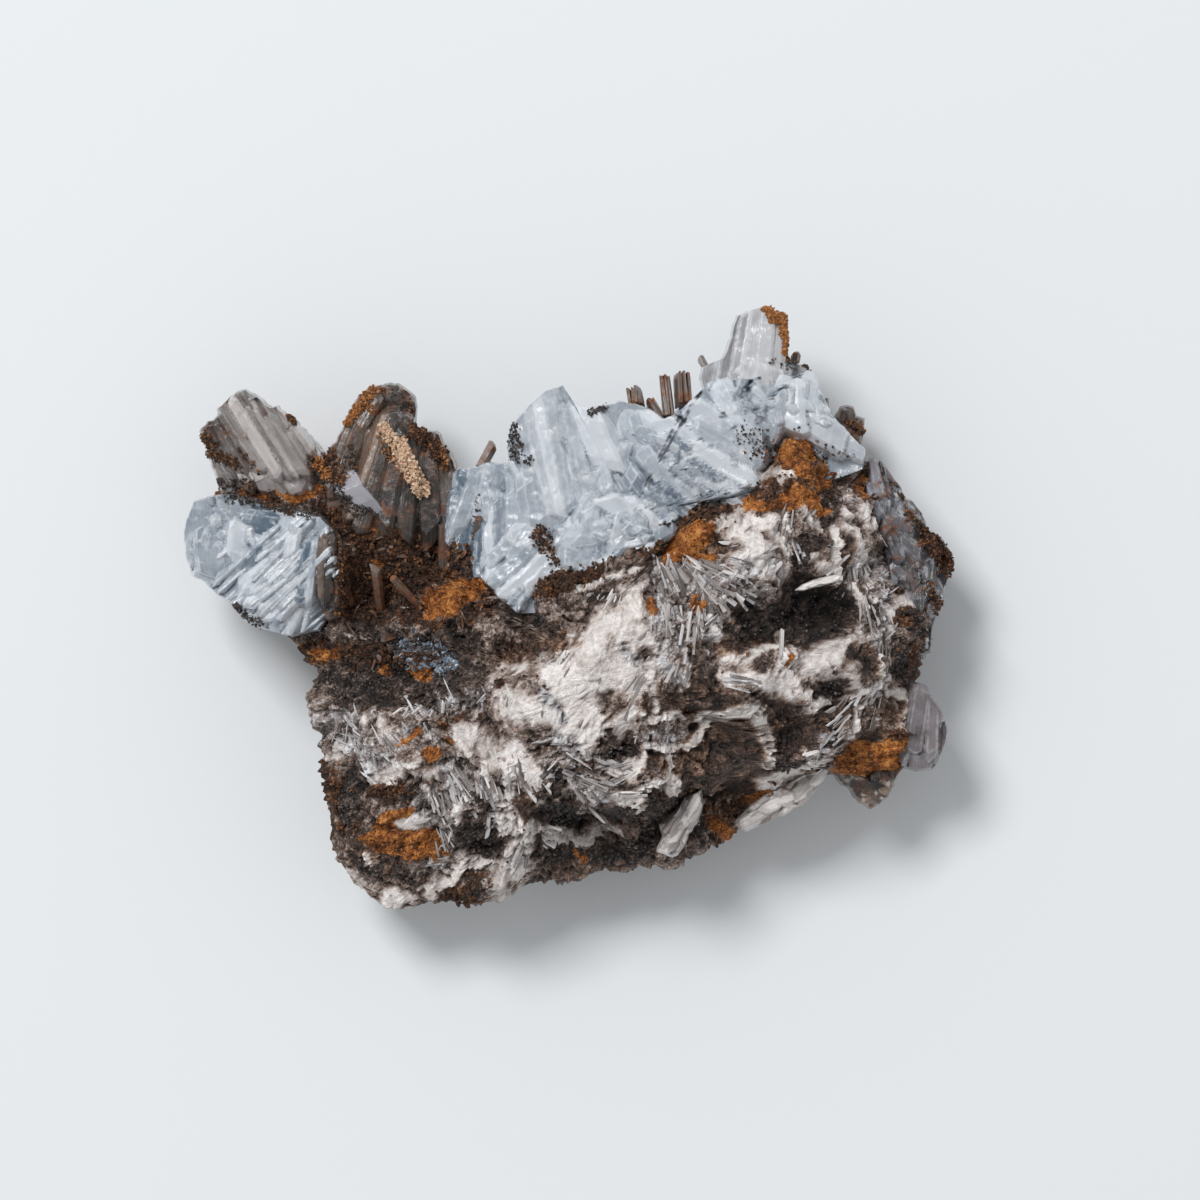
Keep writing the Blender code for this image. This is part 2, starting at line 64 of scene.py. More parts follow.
# The height of the broken front at spots that it passes through.
FRONT_SPOTS = [
    (-4, -11, 35.4), (5, -6, 36.4), (13, -3, 36.2), (23, 5, 35.5), (28, 14, 33), (36, 14, 29), (8, -14, 35.8),
    (20, -9, 34.5), (33, -8, 32), (40, -2, 28), (-9, -3, 28.5), (1, 2, 33), (9, 5, 33.5), (18, 11.5, 32.5),
    (28.6, 18.4, 31.6), (29.8, 21.4, 32.6), (30.2, 26, 22), (34.6, 21.4, 20.5), (25.6, 21, 24),
    (37, 18.5, 25), (-9, 8, 21.5), (1, 12, 24), (10, 14, 24), (19, 17.5, 24), (-14, -5, 26.5),
    (-23, -5, 23.5), (-30, -7, 20), (-13, 4, 23), (-22, 5, 20), (-29, 6, 19), (-19, 11, 17.5),
    (-28, 13, 15.5), (-37, 14.5, 15.5), (-43, 15.5, 14.5), (-38, 1, 12.5), (-36, 8, 14), (-12, -11, 31),
    (-25, -13, 26.5), (-31, -17, 22), (-18, -19, 29.5), (-26, -24, 24.5), (-22, -30.5, 22.5),
    (-11, -26, 29.5), (-9, -33, 25), (-18, -36, 19), (2, -21, 33), (9, -23, 31.5), (3, -31.5, 20),
    (13, -29, 19.5), (18, -18, 30), (22, -26.5, 19), (29, -17, 29), (36, -13, 28), (40, -18.5, 23),
    (44.5, -12, 21), (45.5, 5, 18),
]

# Hollows and swells as (x, y), width and height.
BUMPS = [
    ((32, 0.5), 4.6, -6.5), ((23.5, -1.5), 3.6, -4), ((33.5, -9.8), 2.2, -4.5), ((7.5, -17.3), 2.2, -4),
    ((-12, -30), 3.4, -4), ((-1, -26), 3.4, -4), ((19.5, -17), 4.6, -3), ((28, -16), 3, -3),
    ((5, -28.5), 4.4, -3), ((-26, 2), 3.6, -3), ((-17.5, 8), 3, -2.5), ((-23, -9.5), 4, -2),
    ((37.5, -6.2), 1.8, -3), ((15, -24), 3, -3), ((-13.5, -9.4), 2.4, 2), ((28.5, -5.2), 2, 2.5),
    ((36, -6.5), 3, 2.5), ((22, -12.5), 3, 2), ((-6.5, -29), 2.6, 2.5), ((11, -21), 3.2, 2.5),
    ((-21.5, -27.3), 2.4, 1.5), ((-32.5, 16.4), 3, 4), ((-42, 15.8), 2.4, 3.2), ((-37.4, 15.2), 2.6, 3.4),
    ((-24, 10.6), 2.8, 3.6), ((-19, 9.6), 2.2, 3), ((-30.6, 4), 2.4, 3), ((-31, -1), 2, 2.6),
    ((-15.6, 9), 2, 3), ((-13.5, 1.5), 3, 2.5), ((31.5, 19), 2.4, 2.5), ((16, 9.5), 2.4, 2),
    ((40.5, 10.5), 2.4, 2), ((-20, -6), 2.2, 1.5), ((-28.4, 11), 2.2, 3.6),
]

RIM_HEIGHT = 14.0
RIM_WAVE = 2.5
BACK_SINK = 3.0
FRONT_STEPS = 309
BACK_STEPS = 141
ROCK_RAGGED = 0.3
# How wide its broken faces are, in three sizes, and the knobs of its crusty parts, its bundles of blades and
# the clumps that its rust grains heap up in. A crack's width is in shares of a face.
LARGE_FACE, MIDDLE_FACE, SMALL_FACE = 4.4, 1.9, 0.9
KNOB, BUNDLE, CLUMP = 2.3, 4.6, 1.7
CRACK = 0.12

# Where each mineral lies on the front: strokes from one point to another, the half width and how solid it is.
# Each mineral lies over those before it.
BANDS = {
    "rust": [
        (-30, 3, -12, 5, 5.5, 0.95), (-30, 12, -18, 10, 3.4, 0.95), (-44, 16, -31, 16.6, 2.4, 1),
        (-33, -5, -20, -6, 1.8, 0.85), (24, 16, 34, 18, 3, 0.85), (11, 7.5, 22, 13.5, 2.2, 0.9),
        (-32, -20.5, -31, -24, 1.4, 1), (-24.5, -22.5, -21, -23.5, 1.8, 0.8), (-17, -15, -11, -13, 1.5, 0.7),
        (-3, -9.3, -1, -7, 0.9, 1.6), (-8.9, -9.6, -8.6, -10.2, 0.8, 1.2), (37, -21, 42, -18, 2.4, 0.9),
        (18.6, -27, 21, -30, 1.5, 1.1), (20, -27.4, 26.5, -23, 0.9, 1), (43, 0, 47, 8, 2.4, 0.8),
        (9.6, 1.4, 11.4, 0, 1.2, 1.6), (9.6, -9.6, 10.4, -12.6, 0.5, 1.1),
        (15.6, -1.6, 16.2, -4.4, 0.45, 1.1), (38.6, 14.6, 38.4, 19, 0.8, 0.9),
        (-30.6, -27, -28, -27.6, 1, 0.8), (-16, -37, -11, -36, 1.2, 0.8), (-8, 2, 4, 4.6, 1.2, 0.75),
        (36, -23, 40, -24, 1.6, 1.1), (45.6, -8.2, 46.2, -4, 0.7, 0.9),
    ],
    "white": [
        (-7.5, -12.4, 3, -12.6, 2.3, 1), (0, -9, 7, -7.5, 3.2, 1.1), (2, -5, 7.4, -0.6, 2.5, 1),
        (0, -16, 9, -14, 1.6, 0.85), (-7.6, -6.6, -6, -7.4, 1.3, 0.85), (-14, -16, -9, -19, 1.8, 0.8),
        (-6.6, -18.4, -3.6, -23, 1.5, 0.95), (8, 2, 9, -3, 1.6, 0.85), (9.6, -1, 12, -6, 1.6, 0.75),
        (23.2, 11.4, 24.6, 8.4, 2.2, 1.1), (26, 12, 28.6, 8.6, 1.4, 0.95), (19.6, 11.6, 22, 12.6, 1.1, 0.8),
        (22, 6.4, 28, 4.6, 1.7, 0.75), (32, -6.2, 35.6, -5.4, 2.2, 1.2), (31, -8, 36, -8.8, 1, 0.9),
        (20, -8.4, 29, -9.2, 1.2, 1), (21, -6, 24, -6.6, 1.2, 0.9), (27.4, -10.6, 30.4, -10.6, 0.9, 0.9),
        (24, -21.6, 29.6, -21.6, 1.3, 1.2), (-20.4, -36.6, -15.4, -36.4, 1, 0.8),
        (-9.6, -36.4, -6.6, -33, 1.8, 0.9), (-29.6, -34.6, -27, -38, 0.9, 0.8),
        (-27, -38.2, -21, -39, 0.9, 0.8), (-22.8, -27.9, -20.4, -27.5, 0.8, 1.2),
        (-25.6, -19.5, -21.6, -20.4, 1, 0.9), (-23.6, -21, -22.2, -21.6, 0.9, 0.8),
        (-20, -20.6, -15.6, -21.6, 1.1, 0.75), (-31, -18.4, -30, -18.6, 1.2, 0.75),
        (-31.4, -14.2, -27, -13.6, 0.8, 0.7), (-24, -14, -23.2, -16, 0.8, 0.75),
        (4, -20.6, 9.6, -19.2, 1, 0.9), (5.4, -24.4, 9.8, -23.8, 0.9, 0.9),
        (10.6, -6.6, 14.8, -8.4, 1.2, 0.7), (37, 11.4, 38.4, 7, 1.3, 0.85), (38.6, 13, 41.2, 10, 1, 0.75),
        (42.4, 0.4, 44.8, 1, 1.2, 0.75), (43, -10.6, 45.6, -11.6, 0.9, 1), (31.4, 7, 33.6, 6, 1.1, 0.75),
        (25, 18, 30.6, 17.4, 1.2, 0.65), (31, 13.4, 32.2, 12.4, 1, 0.7), (-14.2, -9.4, -13.2, -9.2, 1.4, 1.2),
        (-12.6, -13, -9.6, -8, 1, 0.6),
    ],
    "grey": [
        (-33, -15, -25, -18.4, 2.8, 0.95), (-18.6, -12.4, -12, -11.4, 2, 0.8), (-23, -16, -17, -16.4, 2, 0.7),
        (-19.4, -24, -15.6, -30, 2.2, 0.95), (-15, -21, -10, -27, 2.2, 0.9), (-1, -17, 4, -19, 1.6, 0.9),
        (1, -21, 4.6, -23.6, 1.6, 0.85), (-3.2, -11, -1, -13, 0.8, 0.9), (12, 5.8, 20, 4.8, 1.5, 1.1),
        (12, 3, 13.6, -3.6, 2.4, 1), (16, 3, 18.6, -3.6, 2.2, 1), (20, 4, 24.6, 1, 1.4, 1),
        (12, -6, 14, -8.6, 1.5, 0.85), (22, 6.2, 28, 4.8, 1.6, 0.6), (37.6, 6, 41, 4.6, 2, 0.9),
        (41, 2, 40.6, -10, 1.2, 1), (32, -17, 35, -16, 1.6, 0.9), (16.6, -28, 18.4, -28.6, 0.9, 0.9),
        (34.6, -21, 37, -22.4, 1, 0.8), (-19.4, -32.6, -15.6, -33.6, 1, 0.8), (7.4, -5, 9.6, -6.6, 1, 0.8),
        (36.6, 3, 38.2, -2.4, 1.2, 0.8), (35.4, 19, 37, 14, 1.4, 0.7), (10.4, -16.4, 16, -16.6, 1, 0.9),
    ],
    "brown": [
        (17, -17.4, 22.4, -16.6, 2.2, 1.3), (17, -20, 23, -20.2, 2.4, 1.3),
        (20, -23.4, 23.2, -22.8, 1.7, 1.1), (27.2, -13.4, 29, -16, 1.9, 1.2),
        (29.4, -17.4, 31.4, -16, 1.2, 0.9), (34, -13, 37, -12, 1.5, 0.9), (17, -10, 21.4, -11.8, 1.2, 1),
        (13, -11.4, 15.6, -12.6, 0.9, 1), (6, -26.6, 8.6, -28, 1.6, 1), (10.6, -24, 16, -22.2, 0.9, 1),
        (-5.6, -25, -3, -27.6, 1.6, 0.9), (-3, -34.6, 4, -35.4, 1.4, 1), (4, -33, 10, -31.6, 1.6, 1),
        (-27.4, -31, -23, -34, 2, 0.8), (18, 9, 19.6, 8.4, 1.1, 1.1), (37.6, -5.6, 38.6, -7.4, 1.2, 1.1),
        (35, -17, 40.4, -16.4, 0.9, 0.9), (35.4, 6, 36.6, 9, 0.8, 0.8), (19.6, -4.4, 28, -3.2, 1.1, 0.9),
        (35, 18, 38, 16, 1.4, 0.7), (-9, -5, -1, -3.6, 1.6, 0.9), (31.6, -14.6, 33.6, -14, 0.9, 1),
        (40.6, -12.4, 43, -14, 1.4, 0.8), (11, -19, 13.8, -20.6, 1, 0.9),
    ],
    "black": [
        (-30, -11, -24, -11.3, 1.1, 1.2), (-24, -11.6, -18, -11.8, 0.9, 0.8), (-31, -9, -13, -8.6, 2.2, 0.8),
        (-28, -2.6, -13, -4.4, 2.2, 0.7), (-28.6, -21.6, -27, -23.6, 1.2, 1),
        (-29.6, -24, -28.6, -26.4, 1.1, 0.9), (-14, -28.2, -10.4, -31.4, 1.8, 1.2),
        (-12, -24, -11, -28, 0.9, 0.7), (-28, -33.4, -26, -34.4, 0.9, 1), (-22.4, -34.6, -20, -36, 1.3, 1),
        (-12.4, -36.2, -12, -36.4, 0.8, 0.9), (5.2, -17, 6.8, -17.8, 1.1, 1.3),
        (-2.4, -21.4, -1, -28.4, 1.5, 1.1), (0.2, -24.6, 0.6, -27.4, 1, 1.1), (8.6, -26, 13, -25, 1.1, 1),
        (10, -27, 10.4, -30, 1, 0.9), (-3, -32.8, 9, -31, 1.4, 0.85), (10.4, -13.8, 11.2, -14.4, 0.9, 1),
        (16.4, -5, 18.6, -9.6, 1.3, 0.85), (23.4, -7.4, 24.8, -6, 0.8, 1.1), (21, 1.2, 23, 0.6, 0.8, 1),
        (22.4, -2, 26, -0.8, 1.5, 1), (29.8, -1, 34.6, 0.2, 2.2, 1.1), (30, 5.4, 30.4, 8, 0.6, 1.1),
        (31, 8.6, 33.6, 9.6, 1.3, 0.95), (33.6, 12.6, 34.4, 17.4, 0.9, 1), (32.4, 16, 32.6, 16.2, 0.7, 0.9),
        (32.4, -9.8, 34, -9.6, 1.1, 1.3), (43, -7, 44.6, -8, 1.6, 1.1), (26.4, -19, 29.6, -19.6, 0.8, 1.1),
        (38.4, -3, 39.2, -0.8, 0.9, 0.8), (14.4, 13, 19.6, 14.8, 0.6, 0.8), (-17, 7, -13, 6, 2, 0.7),
        (-26, 0, -22, 1, 1.6, 0.7), (44.6, -1, 46.8, -4, 1.6, 0.8), (16, -20.8, 17.2, -21.2, 0.6, 1.2),
        (24, -26, 16, -29, 0.9, 0.7), (-10, 1.6, -3, -0.8, 1.2, 0.7), (13, -4.6, 14, -1.4, 0.5, 0.7),
    ],
    "ochre": [
        (-24.4, -29.8, -18.6, -31, 1.5, 1.9), (-26, -29.3, -23, -29.6, 0.7, 1.4),
        (-18.6, -31.2, -16.6, -31.4, 0.6, 1.2), (-24.4, -27.1, -21, -26.2, 0.7, 1.2),
        (-18.8, -19, -17.8, -18.8, 0.8, 1), (-16.2, -17, -15.8, -17, 0.6, 1.1),
        (-21.6, -17, -20.4, -15.8, 0.5, 0.9), (37.6, -20.4, 43, -19.2, 1.8, 1.9),
        (37, -18, 38.6, -17.5, 0.4, 1.1), (37, -23.6, 39, -24, 0.8, 1.1), (29, 20, 31, 22, 1.7, 1.3),
        (30.6, 18, 33.2, 17.4, 1.4, 1.2), (21, 14.4, 30, 14.6, 1.1, 0.8), (13.8, 8, 17.6, 10.4, 1.5, 1.05),
        (13, 7, 18.6, 7.2, 0.6, 1.3), (31.6, 14.6, 33, 13.4, 0.9, 0.8), (10.2, 0.8, 10.8, 0.2, 0.7, 0.9),
        (16.4, 1.9, 16.8, 1, 0.8, 1.3), (-17.6, 1, -12.4, 3.6, 1.7, 0.95), (-27.4, 14, -24, 11.4, 1.2, 0.95),
        (-36, 15.6, -30.4, 17.4, 1.5, 1), (-43.4, 14.6, -39.4, 14.6, 1.1, 1), (-25.4, 2, -24.8, 6, 0.6, 0.9),
        (19, -27.6, 21, -29.6, 1, 1.1), (23.4, -25, 26.4, -23.2, 0.5, 1), (45.4, 3.4, 47.4, 7, 1.4, 0.9),
        (-32.6, -5, -30, -5.6, 1, 0.8), (-24.6, -7.6, -24, -8.2, 0.8, 0.8),
        (-20.6, -7.2, -18.6, -8.4, 0.8, 0.8), (27.9, -5.4, 28.1, -6.6, 0.4, 1),
        (38.6, 14.8, 38.5, 18, 0.4, 0.9), (46, -4.2, 46.2, -4.4, 0.5, 1), (0.8, -32.4, 2, -32.6, 0.8, 0.7),
    ],
    "vein": [
        (-7.4, -20, -8.6, -26, 0.8, 1.1), (-8.6, -26, -6, -30, 1.1, 1.1), (-6, -30, -8, -33.4, 1.3, 1.1),
        (-8, -33.4, -15, -33.8, 0.9, 1.1), (-11.2, -20, -8.8, -29, 0.55, 1.1),
        (-5, -28.4, 0, -30.2, 0.9, 1.2), (-1, -30.8, 3, -30, 0.5, 1), (3.4, -29.1, 6, -28, 0.5, 1.1),
        (1, -25.6, 4.6, -27.6, 0.35, 1), (9.6, -23.2, 13.6, -21.8, 0.65, 1.1),
        (11.6, -22.4, 13.6, -22.8, 0.6, 1), (10, -14, 14.6, -13.4, 0.5, 1.1),
        (10.4, -17.6, 15.6, -17.4, 0.5, 1), (15.6, -17.2, 18, -14.8, 0.5, 1.1),
        (17.4, -14, 21, -13.4, 0.8, 1.1), (21, -13.2, 24.4, -12.4, 0.8, 1.2),
        (24.5, -14, 25.2, -19.4, 0.7, 1.1), (13.2, -18, 13.3, -21, 0.35, 1.1),
        (10.2, -7, 11.2, -12.4, 0.55, 1), (14.6, -1, 15.7, -9.4, 0.4, 1), (18.2, -1, 19.2, -3.2, 0.7, 0.9),
        (19.8, 1.8, 22, -2.6, 0.3, 1), (34.8, 11, 35, 4, 0.5, 1.2), (27.4, -3, 27, -7.4, 0.6, 1.1),
        (28.8, -4, 29.2, -8, 0.45, 1.1), (28.3, 13.4, 28.6, 8.6, 0.6, 0.8), (35, -11, 39, -10, 0.4, 1.1),
        (36.6, -15, 40, -8.6, 0.4, 1.1), (30.4, -12.6, 34, -11.2, 0.6, 1), (30, -20.2, 33.4, -19.4, 0.6, 1.1),
        (37.2, 3, 38, -0.6, 0.6, 1), (39.2, 3.2, 39.8, 1, 0.4, 1), (-14.6, -21.6, -14.9, -27.4, 0.6, 0.9),
        (-19.4, -23, -18.4, -25, 0.6, 0.9), (-26.8, -31.4, -26.4, -33.6, 0.4, 0.9),
        (-18.4, -32.6, -18.1, -33.6, 0.35, 1), (22.4, -6, 26, -4.4, 0.5, 1),
        (-28.2, -18, -27.8, -18.4, 0.5, 1), (-26.6, -13.4, -25.8, -12.6, 0.7, 0.9),
        (42, -8.6, 42.2, -8.4, 0.5, 1.1), (43.8, -13.8, 44.6, -12.6, 0.5, 1.1), (36, 13, 38, 11, 0.4, 0.9),
        (40.2, 12, 42, 9.6, 0.5, 0.9), (40.4, -3, 39.6, -8, 0.35, 1), (1, 3, 9, 5.2, 0.5, 0.8),
    ],
    "sparkle": [(-20.4, -4.8, -16.6, -6.6, 1.8, 1.2)],
}

# Sprays of blades on the rock: their middle, how far they spread, the way they run and fan out in degrees,
# their length and how many.
SPRAYS = [
    (12.6, 4.4, 1, 112, 9, 4, 19), (15.4, 4.6, 1, 128, 10, 4.4, 22), (18.8, 3.8, 1.1, 142, 9, 4.2, 19),
    (21.6, 2.4, 0.9, 138, 10, 3.4, 12), (12.4, -1.8, 1, 98, 8, 4, 16), (15.6, -2.2, 1, 84, 9, 3.8, 16),
    (17.8, 0.6, 0.9, 104, 12, 3, 12), (14.2, -6.6, 0.9, 76, 10, 3.4, 10), (27.6, 10.6, 1, 78, 8, 3.6, 15),
    (25, 6.4, 1.1, 40, 12, 3, 13), (21, 6.6, 0.9, 165, 10, 3.2, 10), (29, 7.6, 0.8, 100, 10, 3, 9),
    (37.4, 4.4, 0.9, 100, 9, 4, 15), (38.6, -1, 0.9, 98, 8, 4.4, 16), (40.4, -4.6, 0.8, 84, 8, 4, 13),
    (37.8, -11.6, 0.9, 58, 8, 4.2, 15), (41.4, 9.2, 0.8, 116, 9, 3.2, 10), (35.2, -14.6, 0.8, 48, 9, 3.4, 10),
    (33, -19.6, 0.8, 34, 9, 3, 9), (22.6, -8.6, 1, 174, 9, 3.4, 10), (-17.2, -24.6, 1, 112, 8, 4.6, 19),
    (-14, -22.4, 1, 118, 8, 4.8, 22), (-10.8, -22, 0.9, 106, 9, 4.4, 18), (-6.6, -21, 1, 102, 12, 3.6, 15),
    (-16, -29, 0.8, 118, 9, 3.4, 12), (-6.4, -31.4, 0.8, 68, 9, 3.8, 12), (-3, -29.2, 0.7, 160, 9, 3.4, 10),
    (-2, -19.4, 0.9, 38, 12, 3, 12), (2.8, -22, 0.9, 150, 10, 3.2, 12), (7.4, -20.8, 0.9, 22, 10, 3.2, 12),
    (-22.8, -17, 1, 128, 14, 2.8, 13), (-28.6, -16, 1, 100, 18, 2.4, 13), (-1.6, -6.4, 0.9, 52, 9, 3.4, 9),
    (5.6, 1.4, 1, 66, 9, 3.4, 10), (8.8, -9.6, 0.8, 64, 9, 3, 7), (-20.6, -12.6, 1, 40, 18, 2.2, 10),
]

# Which way the blades of the rock run at a spot, in degrees from +x.
GRAIN_SPOTS = [
    (-27, -17, 120), (-12, -22, 112), (-6, -30, 80), (0, -10, 42), (8, -5, 55), (5, -28, -12), (10, 2, 100),
    (18, 4, 62), (25, 10, 75), (12, -8, 88), (22, -8, 10), (33, -6, 28), (32, 4, 20), (38, 5, 88),
    (40, -8, 84), (35, -13, 45), (27, -24, 33), (18, -20, 60), (14, -28, 60), (-20, -33, 15), (-22, 0, 105),
    (-14, 8, 80), (-34, 12, 50), (2, -20, -25),
]


# Arithmetic shared by the shapes


def lattice_value(cell, seed):
    """A fixed number from 0 to 1 for each whole-numbered cell: its three indices are multiplied by large
    numbers and mixed, so that neighbours have nothing in common."""
    mixed = (cell * np.array([374761393, 668265263, 362437], np.int64)).sum(axis=-1) + seed * 974634777
    mixed = (mixed ^ (mixed >> 13)) & 0xFFFFFFFF
    mixed = (mixed * 1274126177) & 0xFFFFFFFF
    return ((mixed ^ (mixed >> 16)) & 0xFFFFFF) / 0xFFFFFF


def smooth_noise(points, size, seed):
    """Random values at the corners of a lattice of that size, blended inside each cell by the curve 3t^2 -
    2t^3, from -1 to 1."""
    scaled = points / size
    cell = np.floor(scaled).astype(np.int64)
    t = scaled - cell
    t = t * t * (3 - 2 * t)
    total = np.zeros(len(points))
    for corner in np.ndindex(2, 2, 2):
        weight = np.prod(np.where(corner, t, 1 - t), axis=1)
        total += weight * lattice_value(cell + np.array(corner), seed)
    return 2 * total - 1


def facets(points, size, seed):
    """Broken faces: each point takes the nearest of a lattice of jittered centres, and its height is that of
    a plane through the centre with the centre's own tilt and rise. Also gives the centre, its random number,
    and how far the point is from the border with the next centre, in cells."""
    scaled = points / size
    base = np.floor(scaled).astype(np.int64)
    nearest = np.full(len(points), 9.0)
    second = np.full(len(points), 9.0)
    home = np.zeros_like(scaled)
    token = np.zeros(len(points))
    for step in np.ndindex(3, 3, 3):
        cell = base + np.array(step) - 1
        centre = cell + np.stack([lattice_value(cell, seed + k) for k in (11, 12, 13)], axis=1)
        apart = np.linalg.norm(scaled - centre, axis=1)
        closer = apart < nearest
        second = np.where(closer, nearest, np.minimum(second, apart))
        nearest = np.where(closer, apart, nearest)
        home[closer] = centre[closer]
        token = np.where(closer, lattice_value(cell, seed + 14), token)
    whole = np.round(home * 1000).astype(np.int64)
    tilt = np.stack([lattice_value(whole, seed + k) - 0.5 for k in (15, 16, 17)], axis=1)
    height = ((scaled - home) * tilt).sum(axis=1) * 1.6 + (token - 0.5) * 0.8
    return height, home * size, token, second - nearest


def band_field(x, y, bands):
    """How strongly a mineral shows at a point: the highest over its bands of strength times a bell curve of
    the distance to the band's middle line."""
    best = np.zeros_like(x)
    for x0, y0, x1, y1, half, strength in bands:
        dx, dy = x1 - x0, y1 - y0
        along = np.clip(((x - x0) * dx + (y - y0) * dy) / max(dx * dx + dy * dy, 1e-6), 0, 1)
        apart = np.hypot(x - x0 - along * dx, y - y0 - along * dy) / half
        best = np.maximum(best, strength * np.exp(-(apart**2) * 0.7))
    return best


def grain_angle(x, y):
    """The blades' direction between the spots: the mean of the spots' directions doubled, so that opposite
    ones agree, weighted by one over the distance cubed."""
    spots = np.array(GRAIN_SPOTS)
    weight = 1 / ((x[:, None] - spots[:, 0]) ** 2 + (y[:, None] - spots[:, 1]) ** 2 + 1) ** 1.5
    turn = np.radians(2 * spots[:, 2])
    return 0.5 * np.arctan2((weight * np.sin(turn)).sum(axis=1), (weight * np.cos(turn)).sum(axis=1))


def headings(turn, lift):
    """Unit arrows from angles in radians: turned from +x in plan and lifted from it."""
    return np.stack([np.cos(turn) * np.cos(lift), np.sin(turn) * np.cos(lift), np.sin(lift)], axis=1)


def in_metres(points):
    return (points + PLAN_SHIFT) * MM


def quads(rows, columns, around=False):
    """The faces of a grid of points, row by row. around joins the last column to the first."""
    index = np.arange(rows * columns).reshape(rows, columns)
    after = np.roll(index, -1, axis=1)
    if not around:
        index, after = index[:, :-1], after[:, :-1]
    return np.stack([index[:-1], after[:-1], after[1:], index[1:]], axis=-1).reshape(-1, 4)


def piece(name, points, faces, material, slot, stands_for=(), uv=None, **values):
    """A finished mesh from points in millimetres, with a number on each point for each named value. It rides
    on the body and hides the solids that it stands for. slot is not used."""
    mesh = bpy.data.meshes.new(name)
    mesh.from_pydata(in_metres(points).tolist(), [], faces.tolist())
    mesh.shade_flat()
    for key, numbers in values.items():
        layer = mesh.attributes.new(key, "FLOAT", "POINT")
        layer.data.foreach_set("value", np.ascontiguousarray(numbers, np.float32))
    if uv is not None:
        corners = np.empty(len(mesh.loops), np.int32)
        mesh.loops.foreach_get("vertex_index", corners)
        mesh.uv_layers.new(name="growth").data.foreach_set("uv", uv[corners].astype(np.float32).ravel())
    mesh.materials.append(material)
    mesh.update()
    obj = bpy.data.objects.new(name, mesh)
    bpy.context.scene.collection.objects.link(obj)
    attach(obj, "root")
    if stands_for:
        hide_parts(*stands_for)


# Shape: the rock's surface


def outline_reach(angle, outline, centre, ragged):
    """How far the outline is from the centre in that direction: where the ray meets the straight side between
    two of its points, plus noise of two sizes."""
    ring = np.array(outline) - centre
    turn = np.arctan2(ring[:, 1], ring[:, 0])
    ring = ring[np.argsort(turn)]
    after = np.searchsorted(np.sort(turn), angle) % len(ring)
    start = ring[after - 1]
    side = ring[after] - start
    cos, sin = np.cos(angle), np.sin(angle)
    reach = (start[:, 0] * side[:, 1] - start[:, 1] * side[:, 0]) / (cos * side[:, 1] - sin * side[:, 0])
    edge = np.stack([cos * reach, sin * reach, np.zeros_like(reach)], axis=1)
    return reach + ragged * (smooth_noise(edge, 1.3, 9) + 0.7 * smooth_noise(edge, 0.55, 10))


def spot_height(x, y, spots, bumps=()):
    """The mean of the spots' heights, weighted by one over the fourth power of the distance, plus the bumps,
    each a bell curve."""
    spots = np.array(spots)
    apart = (x[:, None] - spots[:, 0]) ** 2 + (y[:, None] - spots[:, 1]) ** 2
    weight = 1 / (apart + 2.0) ** 2
    height = (weight * spots[:, 2]).sum(axis=1) / weight.sum(axis=1)
    for (bx, by), width, change in bumps:
        height += change * np.exp(-((x - bx) ** 2 + (y - by) ** 2) / width**2)
    return height


def pillow_plan(steps, outline, centre, ragged):
    """Places in plan inside an outline, their share of the way from the centre to it, and the way outwards in
    plan. u and v run from -1 to 1 over a square, which is carried to a disc by u*sqrt(1 - v^2/2) and v*sqrt(1
    - u^2/2), and the disc's radius r gives the share, 0.55r + 0.45sin(90r), so that rows crowd towards the
    rim."""
    line = np.linspace(-1, 1, steps)
    u, v = (side.ravel() for side in np.meshgrid(line, line, indexing="ij"))
    across, up = u * np.sqrt(1 - v * v / 2), v * np.sqrt(1 - u * u / 2)
    radius = np.clip(np.hypot(across, up), 0, 1)
    angle = np.arctan2(up, across)
    share = 0.55 * radius + 0.45 * np.sin(radius * math.pi / 2)
    way = np.stack([np.cos(angle), np.sin(angle)], axis=1)
    return centre + way * (outline_reach(angle, outline, centre, ragged) * share)[:, None], share, way


def pillow(steps, front):
    """Points of one side of the rock and the way outwards at each. The front falls to the rim by
    (1 - share^6)^0.55, and the back by (1 - share^3.4)^0.6."""
    plan, share, way = pillow_plan(steps, ROCK_OUTLINE, ROCK_CENTRE, ROCK_RAGGED)
    x, y = plan.T
    edge = RIM_HEIGHT + RIM_WAVE * np.sin(2 * np.arctan2(way[:, 1], way[:, 0]) + 0.6)
    if front:
        z = edge + (spot_height(x, y, FRONT_SPOTS, BUMPS) - edge) * np.clip(1 - share**6, 0, 1) ** 0.55
    else:
        z = edge - (edge + BACK_SINK) * np.clip(1 - share**3.4, 0, 1) ** 0.6
    flat = share ** (1 / 0.85)
    rise = np.sqrt(np.clip(1 - flat**2, 0, 1)) * (1 if front else -1)
    outwards = np.column_stack([way * flat[:, None], rise])
    return np.stack([x, y, z], axis=1), outwards


